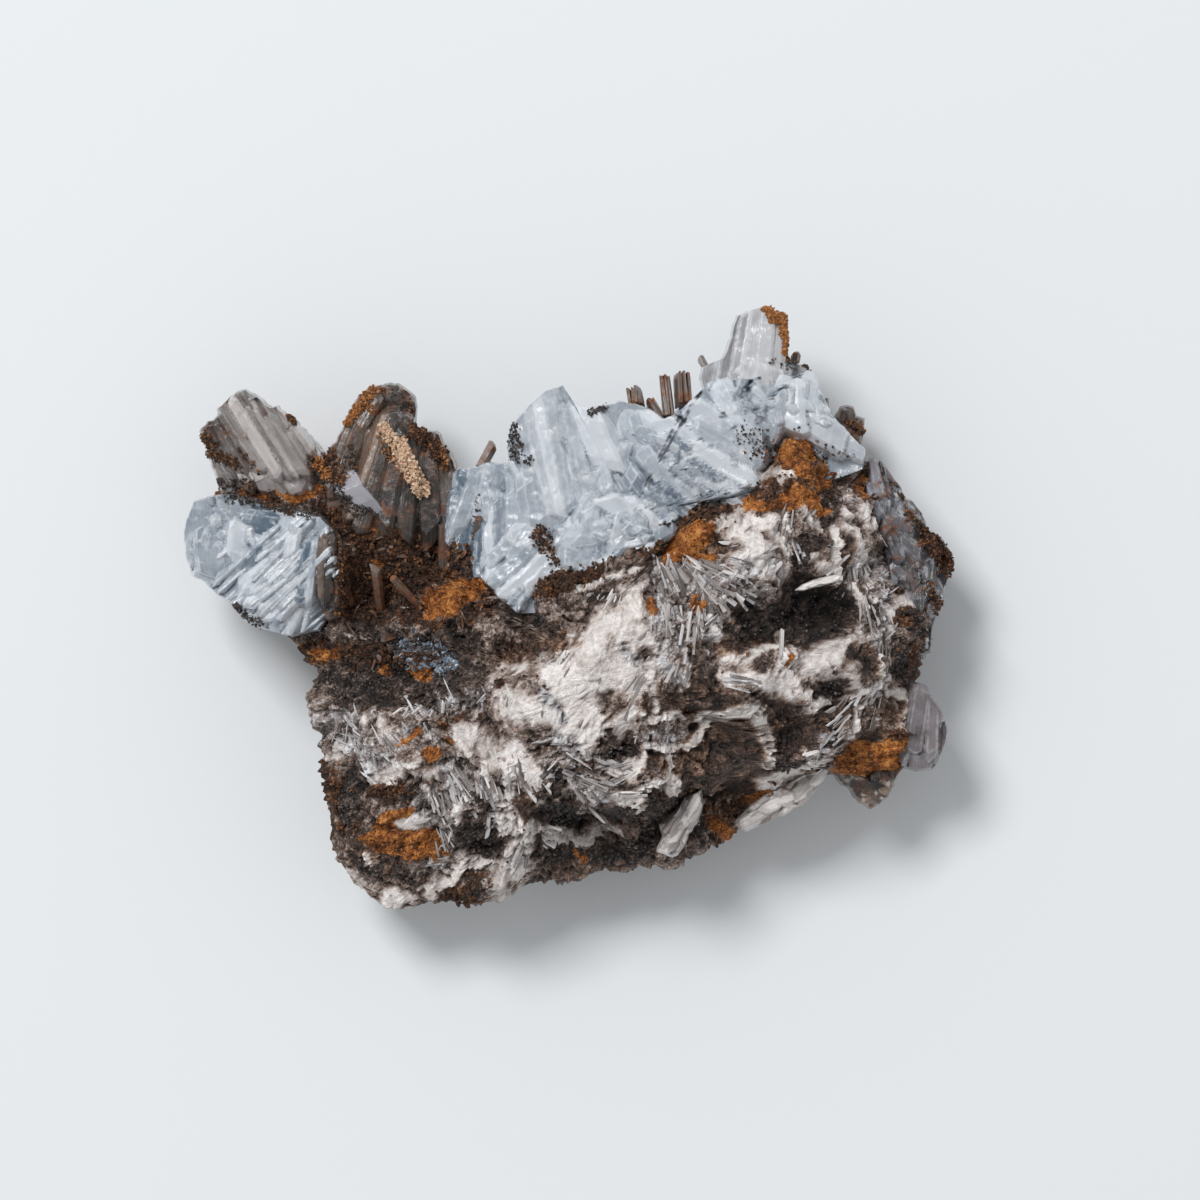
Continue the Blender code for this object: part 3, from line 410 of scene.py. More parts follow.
def mineral_masks(points):
    """How much of each mineral shows at each point, from 0 to 1: the strength of its strokes at a place
    shifted by noise of three sizes, with some noise added, against a threshold. What lies above takes its
    place."""
    shift = [
        0.9 * smooth_noise(points, 2.6, seed)
        + 0.5 * smooth_noise(points, 1.1, seed + 1)
        + 0.3 * smooth_noise(points, 0.5, seed + 2)
        for seed in (31, 34)
    ]
    masks = {}
    for i, (name, bands) in enumerate(BANDS.items()):
        calm = {"vein": 0.45, "ochre": 0.7}.get(name, 1.0)
        own = 0.2 * smooth_noise(points, 1.7, 40 + i) + 0.18 * smooth_noise(points, 0.8, 50 + i)
        field = band_field(points[:, 0] + calm * shift[0], points[:, 1] + calm * shift[1], bands)
        low, soft = (0.25, 0.5) if name in ("white", "grey", "brown") else (0.34, 0.3)
        masks[name] = np.clip((field + own * calm - low) / soft, 0, 1)
        for under in list(masks)[:-1] if name != "sparkle" else ():
            thin = (under, name) in (("white", "grey"), ("rust", "black"))
            masks[under] *= 1 - masks[name] * (0.35 if thin else 0.9)
    return masks


def blade_relief(points):
    """Bundles of parallel blades: inside each broken face the blades run the face's own way, and the height
    is 1 less the size of a noise stretched about eight times along them. Also gives the place across and
    along them."""
    _, centre, token, _ = facets(points * [1, 1, 0.5], BUNDLE, 71)
    angle = grain_angle(centre[:, 0], centre[:, 1]) + (token - 0.5) * 1.1
    along = points[:, 0] * np.cos(angle) + points[:, 1] * np.sin(angle)
    across = -points[:, 0] * np.sin(angle) + points[:, 1] * np.cos(angle)
    stretched = np.stack([along / 7.0, across / 0.9, token * 50], axis=1)
    fine = np.stack([along / 3.5, across / 0.5, token * 90], axis=1)
    relief = 1 - np.abs(smooth_noise(stretched, 1, 72)) * 1.4 - 0.5 * np.abs(smooth_noise(fine, 1, 73))
    return relief, np.stack([across + token * 60, along], axis=1)


def build_rock(material):
    """Both sides of the rock. Each point moves outwards by lumps of two sizes, broken faces of three sizes,
    bundles of blades where the rock is white or grey, and crusty knobs where it is rusty or black. deep is
    high in its hollows, and the rock's finish darkens it there as painted shade. Gives the front's points,
    the way outwards at each and the minerals."""
    sides = []
    for name, steps, front in (("rock_front", FRONT_STEPS, True), ("rock_back", BACK_STEPS, False)):
        points, outwards = pillow(steps, front)
        masks = mineral_masks(points)
        relief, grown = blade_relief(points)
        bladed = np.clip(masks["white"] * 0.3 + masks["grey"] + masks["vein"] * 0.6, 0, 1)
        bladed *= 0.85 if front else 0.3
        crusty = np.clip(masks["rust"] + masks["black"] * 0.7 + masks["ochre"] * 0.5, 0, 1)
        uneven = points + smooth_noise(points, 2, 29)[:, None] * 0.4
        large, _, large_tone, large_border = facets(points, LARGE_FACE, 21)
        middle, _, middle_tone, middle_border = facets(uneven, MIDDLE_FACE, 22)
        small, _, small_tone, small_border = facets(points, SMALL_FACE, 23)
        massive = np.clip(masks["white"] * (1 - masks["grey"]) + 0.5 * masks["brown"], 0, 1)
        stepped = smooth_noise(points, 5.0, 27) * 3.2 + smooth_noise(points, 1.6, 28) * 0.5
        shelf = np.floor(stepped) + np.clip((stepped - np.floor(stepped) - 0.85) / 0.15, 0, 1) - stepped
        _, _, _, knob = facets(points, KNOB, 26)
        knobs = 1.9 * np.clip(knob, 0, 0.6) - 0.5 + 0.6 * (0.5 - small_border)
        knobs += 0.35 * smooth_noise(points, 0.75, 24)
        cracks = [
            depth * np.clip(CRACK - border, 0, 1) / CRACK
            for depth, border in ((0.4, large_border), (0.3, middle_border))
        ]
        detail = (0.6 - 0.3 * massive) * large + (1 - 0.92 * massive) * (0.5 * middle + 0.24 * small)
        detail += bladed * 0.8 * (relief - 0.5) + (1 - crusty) * (0.6 - 0.3 * massive) * shelf
        detail += crusty * knobs
        detail -= (1 - 0.85 * massive) * (cracks[0] + cracks[1])
        detail += 0.14 * (1 - 0.7 * massive) * smooth_noise(points, 0.5, 25)
        detail += 0.2 * masks["vein"] - 0.4 * masks["brown"]
        rise = detail + 1.3 * smooth_noise(points, 9.0, 1) + 0.8 * smooth_noise(points, 4.2, 2)
        pits = spot_height(points[:, 0], points[:, 1], [(0, 0, 0)], [bump for bump in BUMPS if bump[2] < 0])
        points = points + outwards * rise[:, None]
        points[:, 2] = np.maximum(points[:, 2], 0)
        faces = quads(steps, steps)
        # deep is painted shade: highest in the hollows of the relief and, on the front, in the big pits.
        piece(
            name, points, faces if front else faces[:, ::-1], material, "stone",
            ("matrix",) if front else (), uv=grown,
            tone=0.45 * large_tone + 0.35 * middle_tone + 0.2 * small_tone, bladed=bladed,
            deep=np.clip(-0.25 - detail, 0, 0.6) + np.clip(-pits / 6 - 0.15, 0, 0.4) * front, **masks,
        )
        sides.append((points, outwards, masks))
    return sides[0]


# Shape: crystals

BEVEL_SLOPE, FLANK_SLOPE, CHISEL_SLOPE = 0.55, 2.6, 0.45
# How far a broken edge reaches (its white is partly painted highlight), and how far in from the outline a
# mass is rounded down to its rim.
BROKEN_EDGE = 0.2
RIM_ROUND = 0.35

# Crystals grown into each other, each by the middle of its upper face: x, y, height, the way it runs in
# degrees from +x, how steeply it rises along that way and across it, its length and width, and its tone from
# 0, dark, to 1, light.
RIDGE_CRYSTALS = [
    (-6.6, 19, 25.6, 107, -4, 12, 12, 2.4, 0.40), (-5.2, 20, 26.9, 105, -3, -8, 15.5, 2, 0.60),
    (-3.9, 20.4, 27.9, 103, -3, 7, 17, 1.7, 0.75), (-2.7, 20.6, 28.6, 102, -3, -9, 17.8, 1.5, 0.95),
    (-1.5, 21.2, 28.7, 100, -3, 5, 17.4, 1.8, 0.60), (-0.2, 19.6, 28.3, 102, -2, -7, 14.6, 1.8, 0.50),
    (1.3, 20.2, 28.7, 106, -2, 9, 13.4, 1.7, 0.62), (3.6, 22.2, 29.1, 114, -3, -5, 10.6, 3.5, 1.00),
    (7.2, 22.4, 27.2, 108, -3, 5, 9, 6.8, 0.62), (9.9, 21.2, 26.7, 124, -2, -3, 9, 4, 0.52),
    (14.4, 22.5, 27.9, 141, -2, -8, 12.4, 2.8, 0.92), (20.2, 18.9, 28.6, 150, 2, -8, 11, 2.2, 0.98),
    (17.6, 24.8, 27.9, 138, -2, -10, 9.4, 3.4, 0.78), (20.6, 21.8, 28.3, 148, 3, 4, 10.4, 2.8, 0.62),
    (16.2, 18.8, 27.7, 139, 14, 4, 10, 2.6, 0.08), (13.2, 13.7, 29, 142, 15, -4, 6.4, 3.6, 0.02),
    (11.9, 17.6, 28.7, 130, 2, -8, 9, 2.4, 0.55), (9.3, 15.6, 29.2, 126, 10, 0, 7.4, 2.6, 0.25),
    (6.2, 13.6, 30.4, 152, 2, -10, 6.2, 2.4, 1.00), (9.4, 12.6, 30.7, 138, -3, -6, 6.6, 2, 1.00),
    (2.8, 13.5, 29.8, 62, -5, 4, 6.4, 3, 0.50), (4.8, 16.6, 29.6, 98, -6, 10, 5, 1.8, 0.70),
    (-4.2, 14.4, 27.9, 98, -3, -4, 10, 5, 0.52), (-7.2, 13.2, 26.4, 94, -3, -10, 11, 3.4, 0.55),
    (-5.6, 9.2, 28, 60, -6, -6, 7, 4.6, 0.62), (2.6, 9.7, 30.8, 12, 2, 7, 8.4, 3.6, 0.66),
    (7.2, 9.2, 31.3, 60, -6, 5, 6.2, 3.4, 0.55), (1.5, 6.6, 31, -20, 3, -9, 6.6, 3, 0.45),
    (4.8, 5.6, 31.6, 22, 2, 6, 5.4, 2.6, 0.78), (9, 7.7, 31.8, 42, 4, -8, 4.2, 2.4, 0.98),
    (-0.6, 3.7, 30.6, -32, 3, 8, 5.4, 2.2, 0.60), (12.4, 10.7, 30.8, 32, 4, 6, 4.6, 2.4, 0.40),
    (-7.2, 5.9, 28.4, 221, -6, 9, 8.8, 1.9, 0.42), (-5.8, 4.5, 29, 223, -6, -10, 8.8, 1.5, 1.00),
    (-4.5, 3.5, 29.2, 225, -6, 10, 8.4, 1.7, 0.22), (-3.2, 4.9, 29.6, 222, -5, -10, 6.4, 1.3, 0.90),
    # The pale crystal at x -10.2 (tone 1) is partly painted highlight: a prism's white highlights laid into
    # its tone.
    (-8.9, 7.9, 27.4, 224, -6, 5, 5.4, 1.6, 0.60), (-10.2, 8.4, 26.6, 92, -2, -14, 10.4, 1.5, 1.00),
    (-11.4, 8, 25.6, 92, -2, 10, 9, 1.2, 0.10), (-8.9, 10.4, 26.8, 93, -2, 12, 9.4, 1.6, 0.30),
    (24, 26.2, 26.9, 100, -6, -4, 9.4, 5.6, 0.72), (28.7, 27, 26.2, 95, -9, -8, 8.4, 3.6, 0.92),
    (31.5, 27.4, 25.2, 107, -7, 14, 9, 2.4, 0.80), (20.6, 27, 27.2, 116, -6, -8, 6.4, 3, 0.80),
    (17.6, 28.5, 25.8, 126, -5, 6, 6.6, 2.6, 0.25), (32.4, 23.7, 25.4, 148, -3, -10, 8.4, 4, 0.88),
    (36, 21.7, 23.4, 151, -3, -8, 7, 2.6, 0.75), (26.4, 24, 27, 62, -2, 6, 4.4, 2.4, 0.50),
    (22.7, 23.4, 28.1, 132, -2, -7, 6, 3, 0.76), (23.4, 17.6, 27, 158, 6, 6, 4.4, 1.8, 0.35),
    (15.6, 15.2, 28.6, 140, 4, -6, 6.4, 1.6, 0.62), (18.6, 16.2, 28.2, 146, 8, 2, 6, 1.6, 0.15),
]

TALL_CRYSTAL = [
    (20.9, 33, 23.2, 78, -2, 12, 13.4, 2.2, 0.34), (22.2, 33.6, 24, 79, -2, 5, 12.4, 1.5, 0.58),
    (23.7, 34, 24.7, 81, -2, -5, 14, 2.2, 0.90), (25.3, 33.9, 24.9, 84, -2, -2, 14, 2.2, 0.98),
    (26.9, 33.4, 24.3, 88, -2, 8, 13.6, 2.4, 0.82), (18.6, 30.4, 20.8, 100, -3, -6, 7, 2.6, 0.44),
    (22.6, 30.4, 24.6, 70, -6, -4, 5, 2.6, 0.62), (26.6, 30.6, 25, 96, -6, 4, 5, 2.4, 0.74),
]

GREY_CRYSTALS = [
    (-14.8, 13.6, 21, 70, -3, -10, 12.6, 2.4, 0.10), (-13, 14.4, 21.8, 68, -3, 8, 11, 2, 0.42),
    (-10.6, 15, 22.4, 76, -3, -7, 9, 2.2, 0.50), (-8.8, 15.6, 22.8, 92, -3, 10, 8.6, 2, 0.35),
    (-13.6, 9.4, 21.4, 78, -4, 12, 7, 2.2, -0.10), (-11.6, 8, 23.2, 88, -3, -4, 8, 1.4, 0.10),
    (-11.4, 18, 21.4, 40, -3, -6, 4, 2, 0.60),
]

LEFT_CLUSTER_CRYSTALS = [
    (-46.6, 7.6, 21, 96, -3, -3, 7, 4, 0.30), (-47.8, 12.2, 19.8, 60, -6, -5, 5, 4, 0.48),
    (-43, 9.2, 21.9, 84, -4, -6, 5.4, 2.6, 0.72), (-44.6, 3.6, 20.8, 98, 4, -4, 6.4, 2, 0.50),
    (-43.6, 13, 20.2, 10, -3, 6, 5.4, 2.8, 0.32), (-38.8, 11.4, 21.4, 172, 6, 6, 7.4, 3.2, 0.00),
    (-41.4, 6.4, 22.4, 42, 10, 4, 6, 2, 0.10), (-40, 5.4, 23.3, 40, -2, -3, 8.4, 1.6, 0.58),
    (-38.9, 4.6, 23.8, 41, -2, 2, 10, 1.5, 0.52), (-38.1, 3.8, 24.2, 42, -2, -3, 10.4, 1.6, 0.74),
    (-37.3, 2.9, 24.3, 44, -3, 2, 9.6, 1.6, 0.60), (-36.7, 1.6, 24.1, 48, -3, -3, 8.6, 1.7, 0.66),
    (-36.6, 0.2, 23.6, 56, -3, 3, 7, 1.8, 0.60), (-35.6, -0.8, 23.2, 66, -3, -4, 5.6, 1.4, 0.76),
    (-40.6, 1.8, 22.6, 50, -3, -5, 6.6, 1.8, 0.55), (-41.8, 0.2, 21.2, 60, -3, 8, 4, 1.8, 0.30),
    (-34.2, 5, 25, 82, -2, 10, 8, 1.1, -0.20), (-33.2, 5.2, 25.4, 84, -2, -4, 8.6, 0.8, 0.40),
    (-35.8, 8.8, 24.2, 38, -3, -5, 4.4, 2.2, 0.70), (-49.2, 8.4, 19.4, 92, -3, -8, 6, 1.4, 0.50),
    (-37.6, 8.6, 23.2, 30, -3, 6, 5, 1.6, 0.40), (-45.6, 13.8, 19, 20, -4, -5, 4, 2, 0.42),
    (-47.2, 4.6, 19.8, 140, 2, -4, 3.4, 1.4, 0.48), (-44.4, 6.4, 21.2, 150, 4, 5, 3, 1.2, 0.20),
]

SMOKY_LEFT_CRYSTALS = [
    (-44.9, 21.3, 17.4, 121, -2, -10, 9.6, 3, 0.10), (-46.4, 21.6, 16.2, 120, -2, -14, 6.6, 1.8, 0.05),
    (-42.9, 23.3, 19.4, 122, -3, -8, 12, 1.2, 0.52), (-41.8, 23.3, 19.2, 122, -3, 8, 11.6, 1.2, -0.10),
    (-40.8, 22.6, 20.5, 122, -3, -9, 12, 1.4, 1.00), (-39.6, 23, 20.1, 122, -3, 5, 13, 1.1, 0.30),
    (-38.7, 22.2, 20.1, 122, -3, -6, 11.8, 1.3, 0.66), (-37.3, 21.6, 19.7, 123, -3, 7, 10.4, 2.2, 0.48),
    (-35.8, 20.8, 18.7, 124, -3, 8, 8.4, 2, 0.58), (-35.6, 23.9, 16.9, 131, -3, 6, 7.4, 1.7, 0.12),
    (-34, 20, 17.6, 118, -2, 6, 7, 2.8, 0.44), (-42.2, 26.9, 19.6, 122, -10, 2, 4.6, 5.4, 0.16),
    (-38.6, 17.8, 19, 112, 2, -4, 6, 5, 0.80), (-36, 17.4, 18.6, 130, 2, 4, 4, 3, 0.95),
]

SMOKY_MIDDLE_CRYSTALS = [
    (-29.4, 21, 18, 69, -3, -10, 13, 2.6, 0.42), (-27.8, 22.4, 18.8, 70, -3, 8, 13.6, 1.8, 0.20),
    (-26.6, 26.4, 18.6, 62, -8, -4, 6.6, 3, 0.35), (-22.4, 27.4, 17.6, 90, -6, 4, 6, 4.6, 0.04),
    (-26.2, 18.8, 21, 71, -3, -12, 14.6, 0.9, 0.85), (-25, 18, 21, 73, -3, 3, 16.6, 2.2, 0.16),
    (-22.9, 17.4, 20.8, 79, -3, -4, 17.6, 2.6, 0.08), (-21, 17.2, 20.4, 87, -3, 10, 17, 2.1, 0.14),
    (-18.4, 15.8, 19, 93, -3, -6, 15.6, 2.8, 0.08), (-16.2, 15.6, 18.3, 100, -3, 8, 13.6, 2.6, 0.18),
    (-15.2, 16.6, 17, 106, -3, 18, 7.6, 1.4, 0.30), (-27.6, 15.4, 20.9, 140, -2, -2, 7.6, 3.8, 1.00),
    (-30.6, 17, 17.6, 74, -3, 4, 6, 2.6, 0.20), (-21.6, 11.8, 19.2, 82, 12, 4, 5.6, 4.6, 0.04),
]

SHOULDER_CRYSTALS = [
    (36.4, 24.4, 11.4, 84, -4, -8, 6.4, 2.2, 0.30), (35, 23.6, 10.6, 100, -4, -12, 5.6, 1.8, 0.15),
    (38, 23.6, 10.8, 80, -4, 10, 5, 1.8, 0.45), (36.8, 22, 12, 90, -4, 2, 4, 3.4, 0.10),
]

RIGHT_EDGE_CRYSTALS = [
    (40, 17.4, 20.4, 98, -3, -10, 5.6, 1.3, 0.85), (41, 16.6, 19.8, 104, -3, 12, 6, 1, 0.05),
    (39.4, 14.4, 20.8, 122, -3, -8, 4.6, 1, 0.95), (42.6, 12, 21.2, 128, -2, -5, 5, 2.6, 0.62),
    (44, 8.6, 20.8, 142, 2, 6, 4.4, 2.2, 0.36), (42.4, 8.4, 21.4, 112, -2, -8, 4, 1.4, 0.20),
    (45, 12.2, 18.8, 120, -4, 10, 5, 2, 0.10), (46.6, 9.4, 17.6, 104, -4, 8, 4.6, 2.2, 0.12),
    (44.6, 5, 20.4, 98, -2, -6, 5, 2, 0.12), (46.6, 5.6, 18, 84, -4, 6, 4.4, 1.8, 0.16),
    (48.4, 6, 14.8, 98, -4, 12, 5.6, 2.4, 0.05), (45.2, 1.4, 19.6, 92, -3, -6, 5, 2, 0.22),
    (47.4, 1.2, 16.4, 90, -3, 10, 5, 2, 0.12), (43.4, 14.8, 17.6, 120, -4, 4, 4, 2.2, 0.08),
    (45.4, -3.6, 18.4, 88, -3, 6, 5, 2.6, 0.15),
]

# The narrow, lighter crystal at x 47.3 (tone 0.46) stands for the vertical highlight down the dark crystal:
# painted highlight.
GREY_LOWER_CRYSTALS = [
    (45.4, -13.8, 18.4, 262, -3, -6, 9.4, 2.4, 0.34), (47.3, -14.6, 18.1, 268, -3, 5, 10, 1.6, 0.46),
    (48.4, -15, 16.6, 272, -3, 14, 7.8, 1.8, 0.20), (44, -16.6, 17.8, 250, -4, -12, 7.4, 2.2, 0.18),
    (46.4, -18.6, 17, 275, -10, 2, 4.6, 4.4, 0.30), (46.4, -11, 17.8, 236, 4, -4, 3.6, 3.4, 0.26),
]

NUB_CRYSTALS = [
    (38.2, -23, 15.6, 292, -8, -8, 5.4, 2.6, 0.10), (40.6, -22.6, 15.8, 268, -8, 6, 6.4, 2.6, -0.10),
    (42, -21.8, 14.8, 250, -6, 14, 4.6, 1.6, 0.05), (37, -21.4, 16, 310, -4, -6, 4.4, 2.2, 0.30),
]

LEDGE_CRYSTALS = [
    (24.4, -26.8, 16.6, 33, 4, -6, 5, 1.6, 0.55), (27.4, -24.9, 17.4, 30, 2, -8, 6, 1.3, 0.70),
    (31.2, -22.4, 18.4, 40, 2, 6, 5, 1.4, 0.45), (27.6, -26, 16.4, 26, 2, 12, 6.6, 1.2, 0.35),
    (32.6, -21.2, 19, 52, 2, -10, 3.4, 1, 0.75), (23.4, -27.8, 15.8, 24, 2, 10, 3.4, 1.4, 0.50),
]

TAB_CRYSTALS = [
    (15, -27, 22.8, 62, 3, -6, 7.6, 1, 0.80), (13.8, -28.4, 22.4, 58, 3, 4, 6, 1.2, 0.50),
    (12.8, -30, 21.8, 66, 3, -6, 4, 1.2, 0.60), (16.2, -26.2, 22.6, 66, 3, 12, 5, 0.9, 0.30),
]

SPLINTER_CRYSTALS = [
    (32, 3.8, 31.2, 18, 0, -12, 7, 1.3, 1.00), (33, 4.2, 31.3, 24, 0, 8, 3.6, 1, 0.80),
]

# A mass of such crystals: its outline in plan, the heights of the surface between them, and the small
# crystals that fill it: where, how far they spread, the way they run and how far they fan, length, width, how
# many and their tilt. wander says how much its faces wave (1 unless it is given), and ragged how rough its
# edge is (0.12 mm).
BLUE_MASS = {
    "centre": (8, 13),
    "outline": [
        (38.5, 18.5), (38.6, 21.2), (36.5, 23.2), (34.2, 25.6), (32.9, 28.6), (32.2, 31), (31, 31.4),
        (29, 30.6), (26, 31.2), (23.6, 30.2), (20.6, 30.6), (18.3, 30), (16.4, 28), (14.5, 26.2), (12.4, 25),
        (10.6, 26.4), (9, 27.1), (6.5, 27.4), (3.5, 26.6), (1.3, 26.8), (0.5, 27.2), (-0.9, 29.5), (-3, 28.6),
        (-4.5, 27.7), (-6, 26.1), (-7.3, 24.4), (-8, 22.6), (-8, 19.4), (-8.6, 17), (-10.4, 13.4), (-11.8, 9),
        (-11.8, 4.6), (-10.6, 3.2), (-8.8, 1.2), (-6.6, -0.4), (-2, -0.6), (3, 1.6), (9, 4.5), (15, 8.6),
        (21, 12), (27, 15.4), (33, 16.6),
    ],
    "spots": [
        (-6, 20, 25), (-4, 26, 24.6), (-1.5, 22, 27.6), (0, 15, 28.4), (-3, 10, 27.4), (4, 9.5, 30.4),
        (8, 8.5, 31), (3, 19, 28.6), (5, 23, 27), (8, 24, 25.6), (10, 19, 27), (13, 13.5, 29.4),
        (16.5, 16.5, 28.6), (12, 24, 25), (17, 22, 27.4), (20, 27, 26.4), (24, 24, 27.6), (21, 19, 28),
        (27, 27, 26.6), (29.5, 31, 23.4), (31, 25, 25.4), (36, 22, 22.4), (29.4, 20.4, 22),
        (26.4, 19.6, 24.6), (-8, 5, 26.6), (-4, 3, 28.6), (2, 4, 30.6), (-8.5, 13, 24.6), (25, 32, 23.4),
    ],
    "fillers": [
        (-3, 18, 3, 103, 4, 7, 0.6, 24, 9), (5, 11, 3.6, 70, 60, 2.8, 1.5, 40, 14),
        (16, 19, 4, 143, 8, 6, 0.7, 36, 10), (26, 26, 3.2, 104, 26, 3.4, 0.9, 44, 6),
        (10, 13, 3, 128, 40, 3, 1, 30, 14), (-5, 4, 2.6, 222, 8, 4, 0.6, 24, 10),
        (32.6, 25, 1.8, 140, 40, 1.8, 0.8, 30, 12), (3, 6, 3, 20, 60, 2.2, 1.1, 24, 12),
        (19, 16.4, 3, 148, 14, 3, 0.7, 26, 14),
    ],
}

LEFT_MASS = {
    "centre": (-41, 6), "wander": 0.35,
    "outline": [
        (-50.4, 9.5), (-50, 12), (-49, 14.4), (-47.2, 15), (-44.4, 15.4), (-40, 14.6), (-36, 13.4),
        (-32, 12.4), (-29.6, 10), (-29.4, 5), (-30.2, 0.5), (-32.4, -2.6), (-36, -3.4), (-39.8, -2.4),
        (-42.4, -1.2), (-43.6, 0.6), (-44.8, 1.3), (-46.5, 2.5), (-47.5, 3.8), (-49.3, 4.7), (-50, 7),
    ],
    "spots": [
        (-46, 10, 20.4), (-48, 6, 19.4), (-44.5, 3.5, 20), (-40, 3, 23), (-36, 4, 24.5), (-38, 0, 22.5),
        (-35, 9, 23.4), (-42, 12.5, 19.5), (-41.5, 8, 21.6), (-34, -1, 21.5),
    ],
    "fillers": [
        (-46, 8, 2.8, 96, 50, 2.2, 0.9, 26, 8), (-38, 3, 2.8, 43, 3, 8, 0.4, 150, 3),
        (-40, 11, 2.6, 160, 30, 2.2, 0.8, 24, 10), (-36, -0.5, 2, 62, 12, 3, 0.5, 24, 12),
    ],
}

TALL_MASS = {
    "centre": (24, 32), "wander": 0.5,
    "outline": [
        (17.6, 28.8), (16.9, 30.4), (17.2, 31.8), (18.4, 32.4), (19.6, 32.8), (20.2, 33.8), (21, 36.3),
        (21.8, 38.5), (22.8, 39), (23.8, 39.4), (25.4, 39.7), (26.4, 39.3), (27.4, 38.9), (28.3, 38.4),
        (28.4, 35.5), (28.1, 33.4), (28.6, 32.6), (30.2, 32.2), (31.4, 31.6), (31.4, 29.4), (29, 28.6),
        (20, 28.4),
    ],
    "spots": [
        (24, 34, 22.8), (20.8, 33, 21), (18.6, 30, 19.4), (27.6, 34, 21.8), (29.6, 30, 22.4), (24, 28, 23),
    ],
    "fillers": [(24.4, 34, 2.4, 82, 4, 7, 0.5, 34, 7), (25, 30.4, 2.4, 90, 20, 3, 0.7, 30, 12)],
}

GREY_MASS = {
    "centre": (-11.8, 12),
    "outline": [
        (-16.4, 9), (-16.2, 14), (-15.2, 18.2), (-14.4, 18.8), (-12, 19), (-10.6, 19.6), (-8.4, 19.4),
        (-7.2, 19), (-7, 14), (-8, 9), (-9.6, 4.2), (-12.2, 4), (-14.4, 6.4),
    ],
    "spots": [(-14, 14, 20.2), (-9.4, 14, 22), (-12, 8, 22)],
    "fillers": [(-12, 13, 2.6, 84, 8, 5, 0.8, 26, 12)],
}

DARK_BLOCK_CRYSTALS = [
    (-32.2, 5.8, 25.2, 86, -2, 6, 8, 1.2, 0.55), (-31.2, 5.4, 24.6, 86, -2, 12, 9.4, 1.4, 0.05),
    (-30.2, 4.6, 23.4, 84, -2, -6, 8, 1.4, 0.12), (-30.6, 8.6, 23, 70, -4, 6, 4, 2.4, 0.02),
    (-30.6, 0.8, 22.4, 92, -3, 4, 4, 2.6, 0.10),
]

DARK_BLOCK = {
    "centre": (-30.8, 4.6), "ragged": 0.25,
    "outline": [
        (-28.6, 4.6), (-28.9, 8.6), (-30, 10.8), (-31.6, 11.2), (-32.6, 9), (-32.9, 5), (-32.6, 1),
        (-31.8, -1.4), (-30.2, -1.8), (-28.8, 0.6),
    ],
    "spots": [(-31, 5, 23), (-29.4, 5, 21.8), (-30.6, 10, 20.6), (-30.6, -1, 20.4)],
    "fillers": [(-30.6, 4.6, 2.4, 86, 14, 2.6, 0.7, 30, 14)],
}

SILVER_FACET_CRYSTALS = [
    (-27.2, 15.2, 21.6, 136, -3, -3, 9, 7, 0.62), (-29.8, 17.4, 20.9, 60, -2, 6, 3, 2.6, 0.30),
]

SILVER_FACET = {
    "centre": (-27.6, 15.4), "ragged": 0.12, "wander": 0,
    "outline": [
        (-23.8, 12.9), (-26.4, 16.6), (-27.8, 18.7), (-30, 17.9), (-31.2, 15.8), (-28.6, 14.2), (-26.6, 12.6),
        (-24.6, 12.4),
    ],
    "spots": [(-27.6, 15.4, 20.6)],
    "fillers": [],
}

SMOKY_LEFT = {
    "centre": (-40, 21.6), "wander": 0.4,
    "outline": [
        (-48.4, 23.6), (-47.2, 24.8), (-45.9, 25.4), (-46.1, 26.5), (-45, 27.7), (-43.5, 28.9), (-42.2, 29.1),
        (-41, 28.5), (-38.9, 26.7), (-38, 27), (-35.5, 25), (-34, 23.3), (-32.6, 21.6), (-31.8, 20.8),
        (-31.6, 16.4), (-35.6, 13.4), (-41, 13), (-45.4, 15), (-46, 17.4), (-47.4, 20.4), (-48, 22.2),
    ],
    "ragged": 0.22,
    "spots": [
        (-45, 21, 16.2), (-40, 23, 18.8), (-36, 20, 17.6), (-38, 16.6, 16.6), (-38, 13.6, 13.6),
    ],
    "fillers": [(-41, 23, 3, 122, 3, 7, 0.45, 34, 9), (-37, 21, 2.6, 123, 4, 5, 0.5, 34, 9)],
}

SMOKY_MIDDLE = {
    "centre": (-22.8, 18.4), "wander": 0.4,
    "outline": [
        (-31.6, 20.8), (-30.2, 22.9), (-28.9, 25.2), (-28, 27.2), (-27.4, 28.6), (-25.4, 29.6), (-24, 30),
        (-22.5, 30), (-21, 29.1), (-20, 28), (-19.8, 27), (-20, 25), (-19.8, 23.8), (-18.8, 24),
        (-17.2, 23.7), (-16.3, 22.5), (-15.2, 20.5), (-14.6, 19), (-13.4, 14.6), (-14.4, 10.4), (-18, 7.6),
        (-23, 7.2), (-28, 9.4), (-31.8, 13.4), (-32.4, 17.6),
    ],
    "ragged": 0.22,
    "spots": [
        (-29, 21, 17), (-22.4, 28, 16.4), (-23, 19, 19.4), (-17, 17, 17.2), (-27.6, 14.6, 18),
        (-21, 11, 16.8), (-22, 8, 13.8),
    ],
    "fillers": [
        (-23, 17, 3, 78, 3, 11, 0.6, 22, 5), (-28.6, 22, 2.2, 69, 4, 6.6, 0.6, 18, 7),
        (-17, 16, 2, 97, 4, 8.6, 0.6, 14, 6), (-22.4, 28, 1.8, 80, 60, 1.8, 1.2, 14, 20),
    ],
}

